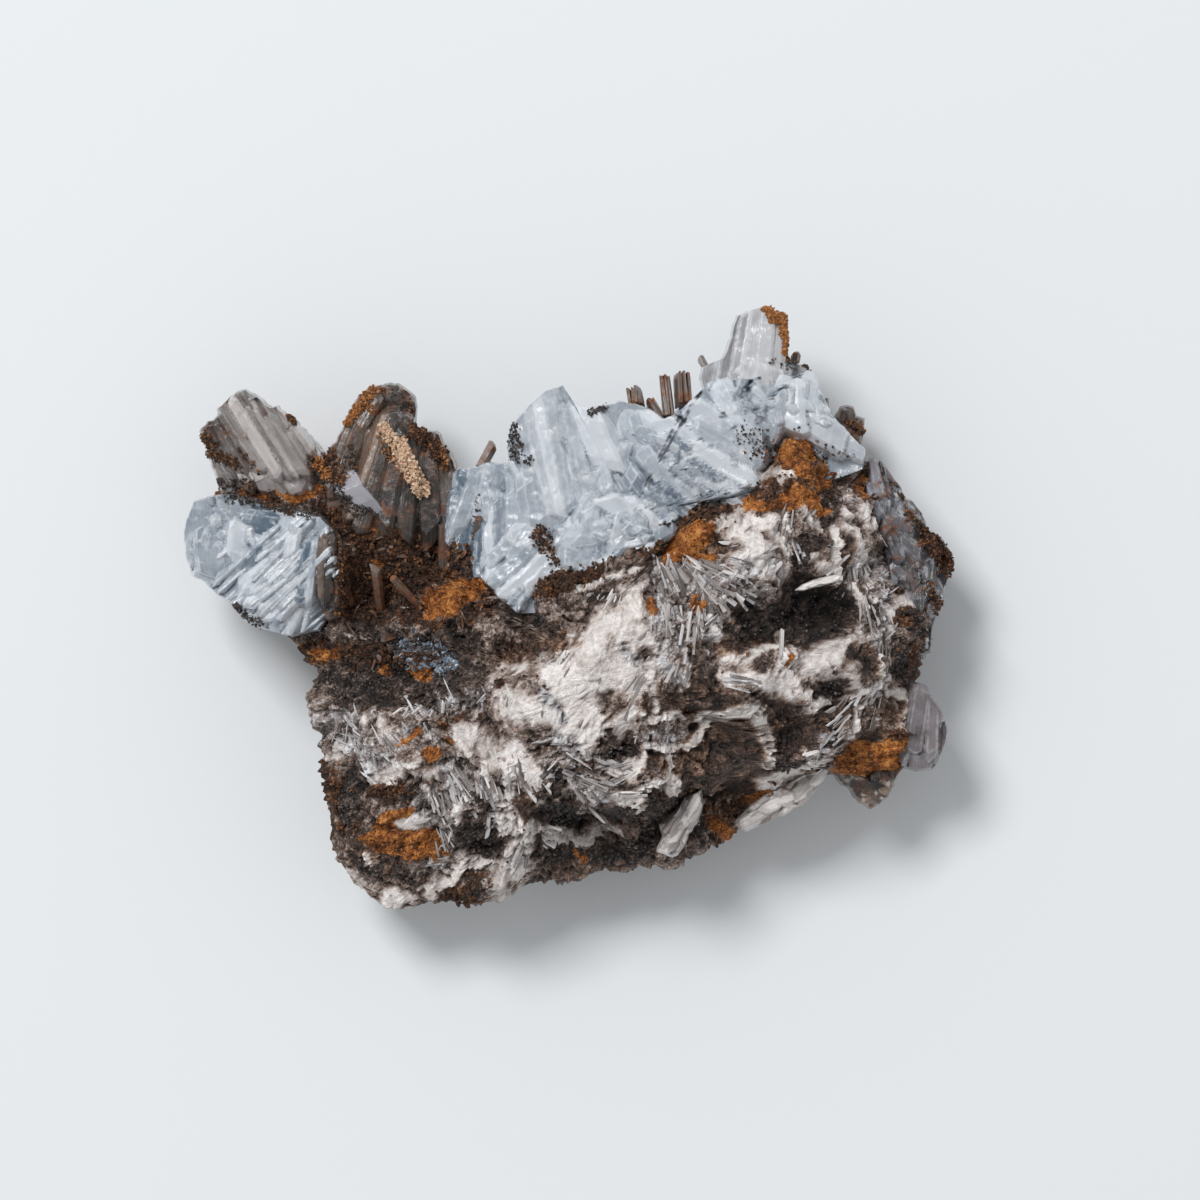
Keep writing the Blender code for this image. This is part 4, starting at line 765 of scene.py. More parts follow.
SHOULDER = {
    "centre": (36.4, 23.2),
    "outline": [
        (34.2, 24.6), (35, 25.8), (35.6, 27), (36.4, 27.2), (37.4, 27), (37.8, 25.9), (38.9, 25.4),
        (38.8, 23.8), (38.4, 21.4), (37, 19.6), (34.4, 20.4), (33.4, 23),
    ],
    "spots": [(36.4, 23, 10.8)],
    "fillers": [(36.4, 23.6, 1.4, 88, 30, 2, 0.7, 14, 14)],
}

RIGHT_EDGE = {
    "centre": (44.6, 6.4), "wander": 0.4,
    "outline": [
        (38.9, 19.6), (39.6, 20.2), (40.6, 19.9), (41.2, 17.6), (43.2, 16.4), (43.6, 15), (44.8, 14.6),
        (46.4, 12.4), (47, 10.4), (48.7, 9.9), (49.9, 8), (50.4, 5.8), (49.5, 3.6), (49.1, 1.8), (48.2, 0),
        (47.5, -2.2), (47.1, -5.4), (45, -7), (43.6, -5), (42.4, 1), (41, 7), (39.2, 13), (38.4, 17),
    ],
    "spots": [
        (40, 17, 19.4), (42.4, 11, 20.4), (46.4, 8, 16.8), (48.6, 5.8, 13.6), (44.4, 5, 19.8), (46, 0, 18.4),
        (45.6, -4, 17.4),
    ],
    "fillers": [(44, 9, 3, 108, 20, 3, 0.9, 40, 16), (46, 2, 2.6, 92, 20, 2.6, 0.9, 30, 16)],
}

GREY_LOWER = {
    "centre": (46, -15), "wander": 0.4,
    "outline": [
        (43.6, -8.6), (46.7, -9.6), (47.5, -11.2), (48.6, -12.5), (49.2, -13.8), (49.6, -15.2), (49.4, -17.2),
        (48.4, -19.8), (47.6, -20.9), (45.6, -21), (43.2, -20.6), (42, -17), (42.2, -12),
    ],
    "spots": [(46.4, -14, 17.4), (44, -16, 16.6), (47, -19, 15.4)],
    "fillers": [(46, -15, 2.2, 266, 14, 3.6, 0.8, 22, 12)],
}

NUB = {
    "centre": (39.6, -21.6), "ragged": 0.2,
    "outline": [
        (36.4, -18.4), (34.4, -21.4), (36.8, -23.6), (38, -25.2), (39.4, -26), (40.4, -25.6), (42.2, -24.1),
        (42.5, -22.5), (43.8, -20.4), (42.6, -17.6),
    ],
    "spots": [(39, -22, 15.4), (41, -20, 16.4)],
    "fillers": [(39.6, -22.4, 1.8, 280, 40, 2.4, 1, 16, 14)],
}

LEDGE = {
    "centre": (28, -24.2), "ragged": 0.2,
    "outline": [
        (34.8, -19.4), (33.2, -19.6), (30.6, -21.2), (28.2, -22.4), (25.4, -23.8), (22.6, -26.2),
        (21.6, -27.4), (22.4, -28.6), (23.4, -28.9), (25.6, -27.7), (27.4, -26.9), (30, -25.6), (31.6, -24.4),
        (32.4, -23.2), (33.8, -21.4),
    ],
    "spots": [(24, -27, 16), (28, -24.6, 17), (33, -21, 18.4)],
    "fillers": [(28, -24.6, 3.2, 34, 14, 2.2, 0.5, 70, 14)],
}

TAB = {
    "centre": (14.4, -27.9), "ragged": 0.2,
    "outline": [
        (17.2, -22.8), (17.6, -24.8), (16.8, -27.2), (15.4, -29.6), (14.2, -31.6), (13.4, -32.2), (11.4, -31),
        (12, -29.2), (11.8, -27.6), (13.4, -26.4), (15, -24),
    ],
    "spots": [(14.4, -28, 22)],
    "fillers": [(14.4, -28, 2, 62, 8, 2.4, 0.4, 40, 14)],
}

SPLINTER = {
    "centre": (32.2, 3.8), "ragged": 0.08,
    "outline": [
        (35.2, 4.6), (34.4, 4.8), (33.2, 4.6), (31.4, 4.1), (30, 3.5), (28.9, 2.7), (29.8, 2.6), (31.2, 3),
        (33, 3.4), (34.6, 3.9),
    ],
    "spots": [(32, 3.8, 30.8)],
    "fillers": [(32.2, 3.8, 1.4, 18, 4, 2.6, 0.3, 10, 10)],
}

# Crystals that stand free: where each is rooted, its tip, width, depth, roll and number of plates.
HIDDEN_BLUE = [
    ((-4, 8, 14), (-5.4, 21.8, 9), 6.2, 6, 20, 3), ((5, 10, 14), (6.2, 23.8, 8), 6.6, 6.5, -16, 3),
    ((14.6, 12, 14), (15.6, 27, 8.6), 6.4, 6, 12, 3), ((23.6, 15, 14.5), (24.6, 31.6, 11), 6.2, 6.5, 14, 3),
    ((29.4, 16, 14), (31, 27.2, 10), 5.2, 6, -12, 3), ((-1.2, 12, 18), (-2.6, 26.6, 15), 5.4, 5, 12, 3),
    ((19, 14, 17), (19.6, 29, 14.6), 5, 5, -14, 3),
]

BACK_BLADES = [
    ((-11.6, 18.6, 17.6), (-9.8, 22, 16.6), 1.5, 2.6, 14, 1),
    ((8.8, 26.8, 17.4), (8.5, 29.3, 16.4), 2.2, 2.8, 12, 4),
    ((12, 25, 17.4), (10.4, 27.8, 16.5), 1.3, 2.6, -10, 3),
    ((13, 25.4, 17.6), (12.4, 31.1, 16.4), 1.7, 2.8, 8, 4),
    ((15, 26.9, 17.6), (14.5, 31.3, 15.8), 2.4, 3, -8, 5),
    ((33.3, 24.4, 17), (33.5, 27.8, 16), 0.9, 1.6, 8, 1),
    ((18.6, 30.4, 17.5), (17, 33.3, 16.4), 1, 1.6, 10, 1),
    ((29.2, 31.4, 18), (29.7, 33.9, 17.6), 1.3, 1.6, 10, 1),
]

WHITE_ROCK_BLADES = [ ((27.4, -2.4, 31), (27, -6, 33.2), 0.7, 0.8, 14, 2), ]

DARK_STUBS = [
    ((-24.6, 0.4, 17), (-25.2, 6, 22.4), 1.4, 1.6, 10, 1),
    ((-19.4, 0.6, 19.6), (-23, 4.6, 22.6), 1.1, 1.3, -10, 1),
    ((-19.6, -2, 20.6), (-24.4, -3.6, 22.8), 1.4, 1.4, 14, 1),
    ((-16, 5, 18), (-15.8, 12, 19.6), 2.2, 2.4, 10, 2), ((-12.6, 6, 20), (-11.6, 12.4, 23.4), 1, 1.2, 10, 1),
    ((-28.4, 1, 18), (-29.4, 5.4, 21.6), 1, 1.2, 10, 1),
]

# Patches of oxide grains that the crystals carry: how many grains, their least and greatest size, how high
# they heap up, and the bands that they lie along.
CRUSTS = {
    "black": (3400, 0.08, 0.24, 0.25, [
        (-7.4, 23.6, -6.6, 20.4, 0.9, 1), (-6.6, 19.4, -4.8, 19.6, 0.5, 1), (2.8, 25.6, 4.6, 26.3, 0.5, 1),
        (22.4, 22.8, 26.4, 20.4, 1.3, 1.3), (23, 21.2, 24.6, 23.4, 0.5, 1.4),
        (-44, 15.4, -36, 13.6, 0.9, 1.4), (-30.6, 17, -29, 14.4, 0.7, 1.6), (-28.6, 13.4, -26, 13, 0.6, 1.4),
        (25.4, 23.4, 26, 22, 0.4, 0.7), (29.4, 23.4, 30.6, 24.4, 0.5, 0.8), (27.4, 31.6, 29, 32, 0.6, 0.9),
        (26.2, 32, 26.6, 32.4, 0.3, 0.8), (-11.8, 15, -12.4, 8, 0.4, 0.8), (-42, 14.4, -34, 12.6, 0.9, 0.7),
        (31, 21.6, 36.6, 20.2, 0.8, 0.7), (-47.4, 16.8, -44.5, 16.6, 0.7, 1),
        (-33.6, 19.6, -32.4, 17, 0.9, 0.8), (-28.8, 20, -29.6, 16.4, 0.8, 0.8),
        (-29.4, 13.4, -27, 12.2, 0.6, 0.8), (12, 11.2, 14, 11.7, 0.4, 0.7), (17, 15.2, 21, 15.4, 0.5, 0.7),
        (45, 11.5, 46.6, 8, 0.8, 0.7), (45.6, 5, 47.2, 1.6, 1, 0.8), (46, -1, 46.4, -5.6, 1.1, 0.9),
        (-43.2, 0.6, -40.2, -1.6, 0.6, 0.9), (-24.4, 29.2, -21, 27, 1, 0.6),
        (-3.4, 10.8, -2.2, 10.2, 0.5, 0.9),
    ]),
    "rust": (3600, 0.1, 0.3, 0.5, [
        (-3.7, 10, -2.8, 8.2, 0.8, 2.6), (-2.2, 7.4, -1.6, 6.2, 0.5, 2), (-29.2, 9, -29.4, 0, 0.9, 1),
        (23.4, 20.4, 26.6, 19.8, 0.8, 1), (28.4, 32.8, 29.8, 33.4, 0.45, 0.9),
        (30.2, 32.2, 31.2, 31.6, 0.4, 0.7), (-47.6, 22.8, -46.4, 21.4, 0.7, 1.1),
        (-46.6, 20.8, -43.4, 19.2, 0.7, 1.1), (-43, 21, -40.6, 18.4, 0.5, 0.8),
        (-42.4, 17, -41.4, 16.4, 0.6, 0.9), (-36.6, 25.4, -35.8, 24.6, 0.35, 0.9),
        (-20, 23.4, -17, 20.6, 0.9, 1.4), (-16.8, 20.4, -16.2, 18.8, 0.6, 1.2),
        (37, -20, 41.6, -19.4, 0.8, 0.9), (-31.2, 20.5, -30, 17, 0.9, 1),
        (-20.8, 26.8, -20.4, 23.4, 0.4, 0.7), (-27.8, 18.4, -28.4, 21.4, 0.5, 0.7),
        (46.6, 9.6, 49.6, 6, 1.2, 1), (44, 12.6, 45.6, 11, 0.6, 0.9), (41.8, 16.8, 43.2, 15, 0.6, 0.9),
        (47, 2.6, 48.2, 0.4, 0.9, 0.8), (-40, 14.2, -36, 12.8, 0.6, 0.6), (36.4, 25, 38.4, 23.6, 0.7, 0.6),
    ]),
    "tan": (1900, 0.1, 0.28, 0.5, [
        (-28.8, 24.8, -25.6, 28.6, 0.7, 1), (-25.6, 28.8, -24.6, 29, 0.6, 0.8),
        (-26.8, 27.2, -25.6, 26, 0.5, 0.8), (-24.6, 22.8, -23, 19.6, 0.6, 0.8),
        (-16.6, 21, -16, 19.4, 0.4, 0.8), (25.7, 39, 26.8, 37.6, 0.6, 1.3), (27.3, 38.2, 28, 36, 0.65, 1.3),
        (28, 36, 28, 33.4, 0.3, 1.2), (-33, 19.4, -31.6, 18, 0.9, 0.9),
    ]),
    "cream": (1700, 0.12, 0.34, 1.3, [
        (-24, 23.6, -22.6, 21.8, 0.6, 1.3), (-22.4, 21.8, -21, 18.6, 0.85, 1.4),
        (-21, 18.8, -19.4, 16, 0.85, 1.4),
    ]),
}

# The masses: name, shape, crystals, finish, slot, the solids it stands for, the height of its rim, how far
# its back drops below that, the points along a side of its grid, and the seed of its noise and fillers.
MASSES = [
    ("blue_mass", BLUE_MASS, RIDGE_CRYSTALS, "blue", "blue_barite", ("blue_ridge",), 18.0, 8.0, 257, 80),
    ("tall_crystal", TALL_MASS, TALL_CRYSTAL, "clear", "blue_barite", (), 16.5, 3.0, 125, 90),
    ("grey_crystals", GREY_MASS, GREY_CRYSTALS, "blue", "blue_barite", (), 14.5, 3.0, 105, 100),
    (
        "blue_mass_left", LEFT_MASS, LEFT_CLUSTER_CRYSTALS, "blue", "blue_barite", ("blue_cluster_left",),
        14.5, 5.0, 143, 120,
    ),
    (
        "smoky_left", SMOKY_LEFT, SMOKY_LEFT_CRYSTALS, "smoky", "smoky_barite", ("smoky_blade_left",), 13.0,
        2.0, 129, 130,
    ),
    (
        "smoky_middle", SMOKY_MIDDLE, SMOKY_MIDDLE_CRYSTALS, "brown", "smoky_barite",
        ("smoky_blades_centre",), 13.5, 3.0, 139, 140,
    ),
    (
        "shoulder_crystals", SHOULDER, SHOULDER_CRYSTALS, "dark", "smoky_barite", ("shoulder_blades",), 8.5,
        1.5, 71, 150,
    ),
    (
        "right_edge_crystals", RIGHT_EDGE, RIGHT_EDGE_CRYSTALS, "grey", "smoky_barite",
        ("edge_blades_right",), 12.0, 2.0, 127, 160,
    ),
    (
        "grey_crystal", GREY_LOWER, GREY_LOWER_CRYSTALS, "purple", "grey_barite", ("grey_blade_lower_right",),
        12.0, 2.0, 85, 170,
    ),
    ("dark_block_left", DARK_BLOCK, DARK_BLOCK_CRYSTALS, "brown", "smoky_barite", (), 15.0, 2.0, 61, 220),
    (
        "silver_facet", SILVER_FACET, SILVER_FACET_CRYSTALS, "silver_face", "smoky_barite", (), 19.2, 1.0, 51,
        230,
    ),
    ("dark_nub", NUB, NUB_CRYSTALS, "brown", "stone", (), 11.0, 1.5, 61, 180),
    ("pale_ledge", LEDGE, LEDGE_CRYSTALS, "white", "stone", (), 13.5, 1.0, 75, 190),
    ("pale_tab", TAB, TAB_CRYSTALS, "white", "stone", (), 20.0, 1.0, 55, 200),
    ("white_splinter", SPLINTER, SPLINTER_CRYSTALS, "white", "stone", (), 29.6, 0.4, 35, 210),
]

# The crystals that stand free: name, crystals, finish, slot and seed.
FREE_CRYSTALS = [
    ("blue_crystals_behind", HIDDEN_BLUE, "dense", "blue_barite", 3),
    ("brown_blades_behind", BACK_BLADES, "dark", "smoky_barite", 5),
    ("white_rock_blades", WHITE_ROCK_BLADES, "white", "stone", 12),
    ("dark_stubs", DARK_STUBS, "dark", "stone", 13),
]

# Small blades strewn over the rock: name, the mineral that they grow on, finish, how many, their length in
# shares of the common one, how far they stray from the rock's grain in radians, and seed.
ROCK_BLADES = [
    ("white_blades", "white", "white", 70, 1.0, 0.35, 21),
    ("grey_blades", "grey", "silver", 200, 1.0, 0.35, 22),
    ("brown_blades", "rust", "dark", 320, 0.6, 1.2, 23),
    ("sparkling_blades", "sparkle", "sparkle", 220, 0.36, 1.2, 24),
]

# Grains strewn over the rock: name, mineral, finish, how many, their least and greatest size, and seed.
ROCK_GRAINS = [
    ("rust_grains", "rust", "rust", 7000, 0.1, 0.36, 31),
    ("ochre_grains", "ochre", "tan", 1300, 0.08, 0.22, 32),
    ("black_grains", "black", "black", 4400, 0.09, 0.32, 33),
]


# Finish of the crystals and the grains, with colours from 0 to 255 on a screen

CRYSTAL_FINISHES = {
    "blue": dict(
        name="milky blue barite", dark=(92, 111, 129), light=(226, 231, 238), through=0.24, rough=0.16,
        stain=-0.6, lines=0.15, veil=0.36, broken=0.6, absorb=((0.78, 0.88, 0.94), 26.0),
    ),
    "dense": dict(
        name="dense blue barite", dark=(120, 136, 152), light=(226, 231, 238), through=0.05, rough=0.2,
        stain=-0.6, lines=0.15, veil=0.36,
    ),
    "clear": dict(
        name="clear barite", dark=(98, 94, 96), light=(228, 229, 232), through=0.36, rough=0.16, stain=-0.1,
        lines=0.3, veil=0.5, broken=0.6, absorb=((0.85, 0.85, 0.85), 26.0),
    ),
    "smoky": dict(
        name="smoky barite", dark=(56, 38, 27), light=(208, 200, 197), through=0.3, rough=0.18, stain=0.2,
        lines=0.3, veil=0.4, broken=0.08, absorb=((0.62, 0.5, 0.4), 60.0),
    ),
    "brown": dict(
        name="dark smoky barite", dark=(30, 21, 16), light=(146, 124, 108), through=0.2, rough=0.24,
        stain=0.26, lines=0.16, veil=0.34, absorb=((0.62, 0.48, 0.36), 80.0),
    ),
    "grey": dict(
        name="grey barite", dark=(34, 29, 30), light=(156, 157, 165), through=0.18, rough=0.2, stain=0.26,
        lines=0.24, veil=0.6, broken=0.35, absorb=((0.6, 0.57, 0.56), 60.0),
    ),
    "purple": dict(
        name="purple grey barite", dark=(62, 53, 54), light=(164, 156, 160), through=0.15, rough=0.2,
        stain=0.1, lines=0.2, veil=0.5, broken=0.3, absorb=((0.6, 0.55, 0.56), 60.0),
    ),
    "white": dict(
        name="white barite", dark=(120, 108, 102), light=(242, 236, 232), through=0.15, rough=0.35,
        stain=0.12, lines=0.4, veil=0.5,
    ),
    "silver": dict(
        name="grey rock barite", dark=(98, 88, 86), light=(228, 224, 225), through=0.25, rough=0.25,
        stain=0.12, lines=0.5, veil=0.5,
    ),
    "silver_face": dict(
        name="silver grey barite", dark=(84, 80, 84), light=(184, 182, 190), through=0.1, rough=0.25,
        stain=0.0, lines=0.12, veil=0.3,
    ),
    "sparkle": dict(
        name="sparkling druse", dark=(22, 24, 30), light=(128, 142, 158), through=0.1, rough=0.2, stain=-0.2,
        lines=0.6, veil=0.5,
    ),
    "dark": dict(
        name="dark barite", dark=(34, 25, 22), light=(128, 108, 96), through=0.1, rough=0.3, stain=0.35,
        lines=0.6, veil=0.5,
    ),
}

CRUST_FINISHES = {
    "rust": dict(name="limonite grains", dark=(24, 17, 14), middle=(80, 52, 34), light=(170, 112, 66)),
    "tan": dict(name="ochre grains", dark=(110, 68, 36), middle=(168, 110, 60), light=(208, 150, 96)),
    "cream": dict(name="cream grains", dark=(184, 148, 116), middle=(218, 186, 156), light=(242, 222, 198)),
    "black": dict(
        name="manganese grains", dark=(14, 11, 11), middle=(56, 47, 44), light=(134, 124, 118), rough=0.5,
        shine=0.6,
    ),
}


# The studio, in metres

FLOOR_SIZE = 6.0
KEY_SIZE = 0.6
KEY_POWER = 26.0
KEY_PLACE = (-0.66, 0.88, 1.70)
KEY_AIM = (0.0, 0.0, 0.015)
ROOM_STRENGTH = 0.5
CAMERA_LENS = 200
CAMERA_PLACE = (0.003597, 0.001343, 0.8867)


def grown_crystals(x, y, floor, crystals):
    """The upper side of crystals that have grown into each other. Each has a flat face that dips along and
    across its length, a bevel on both sides from about half its half width, a steep flank beyond that, and a
    chisel and a steep gabled end at both ends, and the highest crystal shows at each point. Gives the height,
    the tone, the place across and along the crystal, and 1 near a crease or a border, falling to 0 over
    BROKEN_EDGE."""
    height, second = floor.copy(), floor - 9.0
    tone = np.full(len(x), 0.45)
    place = np.stack([x, y], axis=1)
    crease = np.full(len(x), 9.0)
    for k, (cx, cy, top, turn, dip, roll, length, width, own_tone) in enumerate(crystals):
        half, reach = width / 2, length / 2
        at = np.flatnonzero(np.hypot(x - cx, y - cy) < np.hypot(half, reach) + 2.0)
        cos, sin = math.cos(math.radians(turn)), math.sin(math.radians(turn))
        along = (x[at] - cx) * cos + (y[at] - cy) * sin
        across = -(x[at] - cx) * sin + (y[at] - cy) * cos
        left, right, slant, cut, gable = (float(lattice_value(np.array([k, j, 1]), 3)) for j in range(5))
        leaning = across + half * (slant - 0.5) * 1.6 * np.sign(along)
        far = np.abs(along) + np.abs(leaning) * (0.25 + 0.9 * gable)
        bends = [
            (across - half * (0.35 + 0.45 * left), BEVEL_SLOPE),
            (-across - half * (0.35 + 0.45 * right), BEVEL_SLOPE),
            (np.abs(across) - half, FLANK_SLOPE),
            (far - reach + width * (0.25 + 0.5 * cut), CHISEL_SLOPE),
            (far - reach, FLANK_SLOPE),
        ]
        own = top + along * math.tan(math.radians(dip)) + across * math.tan(math.radians(roll))
        own -= sum(steep * np.maximum(past, 0) for past, steep in bends)
        nearest = np.min([np.abs(past) for past, _ in bends], axis=0)
        higher = own > height[at]
        second[at] = np.where(higher, height[at], np.maximum(second[at], own))
        height[at] = np.where(higher, own, height[at])
        tone[at] = np.where(higher, own_tone, tone[at])
        crease[at] = np.where(higher, nearest, crease[at])
        place[at[higher]] = np.stack([across, along], axis=1)[higher] + [k * 7.3, k * 3.1]
    close = np.minimum(crease, (height - second) * 0.8)
    return height, tone, place, np.clip(1 - close / BROKEN_EDGE, 0, 1)


def filling(shape, seed):
    """The small crystals of a mass, scattered by a bell curve round each filler's place, at the height
    there."""
    rng = np.random.default_rng(seed)
    made = []
    for cx, cy, spread, turn, fan, length, width, count, tilt in shape["fillers"]:
        x, y = rng.normal(cx, spread, count), rng.normal(cy, spread, count)
        rows = [
            x, y, spot_height(x, y, shape["spots"]) + rng.uniform(-0.3, 0.9, count),
            rng.normal(turn, fan, count), rng.normal(0, tilt, count), rng.normal(0, tilt, count),
            length * rng.uniform(0.6, 1.5, count),
            width * rng.uniform(0.6, 1.6, count), np.clip(rng.normal(0.5, 0.2, count), 0, 1),
        ]
        made += [tuple(float(value) for value in row) for row in np.stack(rows, axis=1)]
    return made


def grown_mass(name, shape, crystals, material, slot, stands_for, rim, drop, steps, seed):
    """A mass of crystals inside its outline, closed by a broken back. The front is the crystals' upper side,
    brought down to the rim over the last RIM_ROUND by the square root of the distance left. Its plan wanders
    by up to 0.24 mm and its faces are uneven by up to 0.16 mm, both times the shape's wander. Gives the
    front's points and the way outwards at each."""
    outline, centre = shape["outline"], shape["centre"]
    ragged, loose = shape.get("ragged", 0.12), shape.get("wander", 1.0)
    plan, share, way = pillow_plan(steps, outline, centre, ragged)
    x, y = plan.T
    flat = np.column_stack([plan, np.zeros(len(plan))])
    aside, ahead = (
        loose * (0.16 * smooth_noise(flat, 2.6, own) + 0.08 * smooth_noise(flat, 0.8, own + 1))
        for own in (seed + 20, seed + 22)
    )
    floor = spot_height(x, y, shape["spots"]) - 0.8
    height, tone, place, edge = grown_crystals(x + aside, y + ahead, floor, crystals + filling(shape, seed))
    height += loose * (0.12 * smooth_noise(flat, 2.2, seed + 24) + 0.035 * smooth_noise(flat, 0.6, seed + 25))
    left = (1 - share) * outline_reach(np.arctan2(way[:, 1], way[:, 0]), outline, centre, 0.0)
    height = rim + (height - rim) * np.clip(left / RIM_ROUND, 0, 1) ** 0.5
    front = np.stack([x, y, height], axis=1)

    less = (steps + 1) // 2
    back, back_share, _ = pillow_plan(less, outline, centre, ragged)
    back = np.column_stack([back, rim - drop * np.clip(1 - back_share**3.4, 0, 1) ** 0.6])
    rise, _, back_tone, _ = facets(back * [1.0, 0.45, 1.0], 2.4, seed + 7)
    back[:, 2] -= np.clip((1 - back_share) * 8, 0, 1) * (rise + 0.5)
    piece(
        name, np.concatenate([front, back]),
        np.concatenate([quads(steps, steps), quads(less, less)[:, ::-1] + steps * steps]),
        material, slot, stands_for,
        uv=np.concatenate([place, back[:, [0, 2]]]), tone=np.concatenate([tone, back_tone]),
        edge=np.concatenate([edge * np.clip(left - 0.3, 0, 1), np.zeros(len(back))]),
    )
    return front, np.column_stack([way * 0.3, np.ones(len(front))])


def axes_of(root, tip, roll):
    """Along, across and outwards for a crystal, rolled about its own length, and the length."""
    along = Vector(tip) - Vector(root)
    length = along.length
    along.normalize()
    side = along.cross(Vector((0, 0, 1))).normalized()
    outwards = side.cross(along)
    turn = math.radians(roll)
    across = side * math.cos(turn) + outwards * math.sin(turn)
    return np.array(along), np.array(across), np.array(across.cross(along)), length


def plate(root, tip, wide, deep, roll, rng, rows=5, parts=3):
    """One crystal: a flattened six-sided profile, each side cut into a few strips that step in and out by a
    hundredth or two of the width, carried straight along the length. Its end is a roof: a point of the
    profile (a, b), each from -1 to 1, ends at length - 0.8*chisel*|b| - slant*a - shoulder*max(0, |a| -
    0.45), and the same rule closes the roof over three smaller rings. Gives points, faces, end caps and the
    growth map in millimetres."""
    along, across, outwards, length = axes_of(root, tip, roll)
    skew = rng.uniform(-0.15, 0.15)
    corners = np.array([(1, skew), (0.52, 1), (-0.5, 1), (-1, -skew), (-0.52, -1), (0.5, -1)])
    share = (np.arange(parts) / parts)[None, :, None]
    ring = (corners[:, None] * (1 - share) + np.roll(corners, -1, axis=0)[:, None] * share).reshape(-1, 2)
    count = len(ring)
    strip = rng.uniform(-0.03, 0.02, count)
    strip[::parts] = 0
    ring = ring * (1 + strip)[:, None]
    chisel = min(deep * 0.5, wide * 0.5, length * 0.2) * rng.uniform(0.7, 1.2)
    slant = rng.uniform(-0.35, 0.35) * wide
    shoulder = rng.uniform(0.2, 1.0) * wide

    def end(a, b):
        return length - chisel * np.abs(b) * 0.8 - slant * a - shoulder * np.clip(np.abs(a) - 0.45, 0, 1)

    sides = [(place, 1.0) for place in np.linspace(0, 1, rows)] + [(1.0, size) for size in (0.72, 0.4, 0.02)]
    waver = 1 + rng.uniform(-0.015, 0.015, rows)
    waver = np.concatenate([waver, np.full(3, waver[-1])])
    points, growth = [], []
    for (place, size), swell in zip(sides, waver):
        a, b = ring.T * size
        far = place * end(a, b)
        taper = swell * (0.94 + 0.06 * place)
        points.append(
            np.array(root)
            + far[:, None] * along
            + (a * taper * wide / 2)[:, None] * across
            + (b * taper * deep / 2)[:, None] * outwards
        )
        growth.append(np.stack([np.arange(count) * (wide + deep) * 1.6 / count, far], axis=1))
    ends = np.arange(count)
    caps = [ends, (len(sides) - 1) * count + ends[::-1]]
    return np.concatenate(points), quads(len(sides), count, around=True), caps, np.concatenate(growth)


def bundle(crystal, rng):
    """The plates that one crystal is made of, side by side across its width with uneven tips."""
    root, tip, wide, deep, roll, plates = crystal
    along, across, outwards, length = axes_of(root, tip, roll)
    made = []
    several = plates > 1
    for centre in (np.arange(plates) + 0.5) / plates - 0.5:
        own = wide / plates * rng.uniform(1.2, 1.7) if several else wide
        short = rng.uniform(0.0, 0.14) * several * (1 if abs(centre) > 0.2 else 0.4)
        aside = across * centre * (wide - own * 0.5) + outwards * rng.uniform(-0.1, 0.1) * deep * several
        lean = across * rng.uniform(-0.25, 0.25) * several
        start, end = np.array(root) + aside, np.array(tip) + aside * 0.96 - along * length * short + lean
        own_deep = deep * rng.uniform(0.75, 1.0)
        made.append(plate(start, end, own, own_deep, roll + rng.uniform(-7, 7) * several, rng))
    return made


def gathered(parts):
    """Several shapes as one: points, faces as quads, end caps as fans of quads, growth map and a tone for
    each."""
    points, faces, growth, tone = [], [], [], []
    count = 0
    for i, (own, sides, caps, own_growth) in enumerate(parts):
        points.append(own)
        faces.append(sides + count)
        for cap in caps:
            half = len(cap) // 2
            left, right = cap[:half], cap[half:][::-1]
            faces.append(np.stack([left[:-1], left[1:], right[1:], right[:-1]], axis=1) + count)
        growth.append(own_growth + [i * 7.3, i * 3.1])
        tone.append(np.full(len(own), lattice_value(np.array([[i, 3, 5]]), 7)[0]))
        count += len(own)
    return np.concatenate(points), np.concatenate(faces), np.concatenate(growth), np.concatenate(tone)


def crystal_group(name, crystals, material, slot, seed):
    rng = np.random.default_rng(seed)
    parts = [part for crystal in crystals for part in bundle(crystal, rng)]
    points, faces, growth, tone = gathered(parts)
    piece(name, points, faces, material, slot, uv=growth, tone=tone)


# Shape: small blades and grains by the thousand


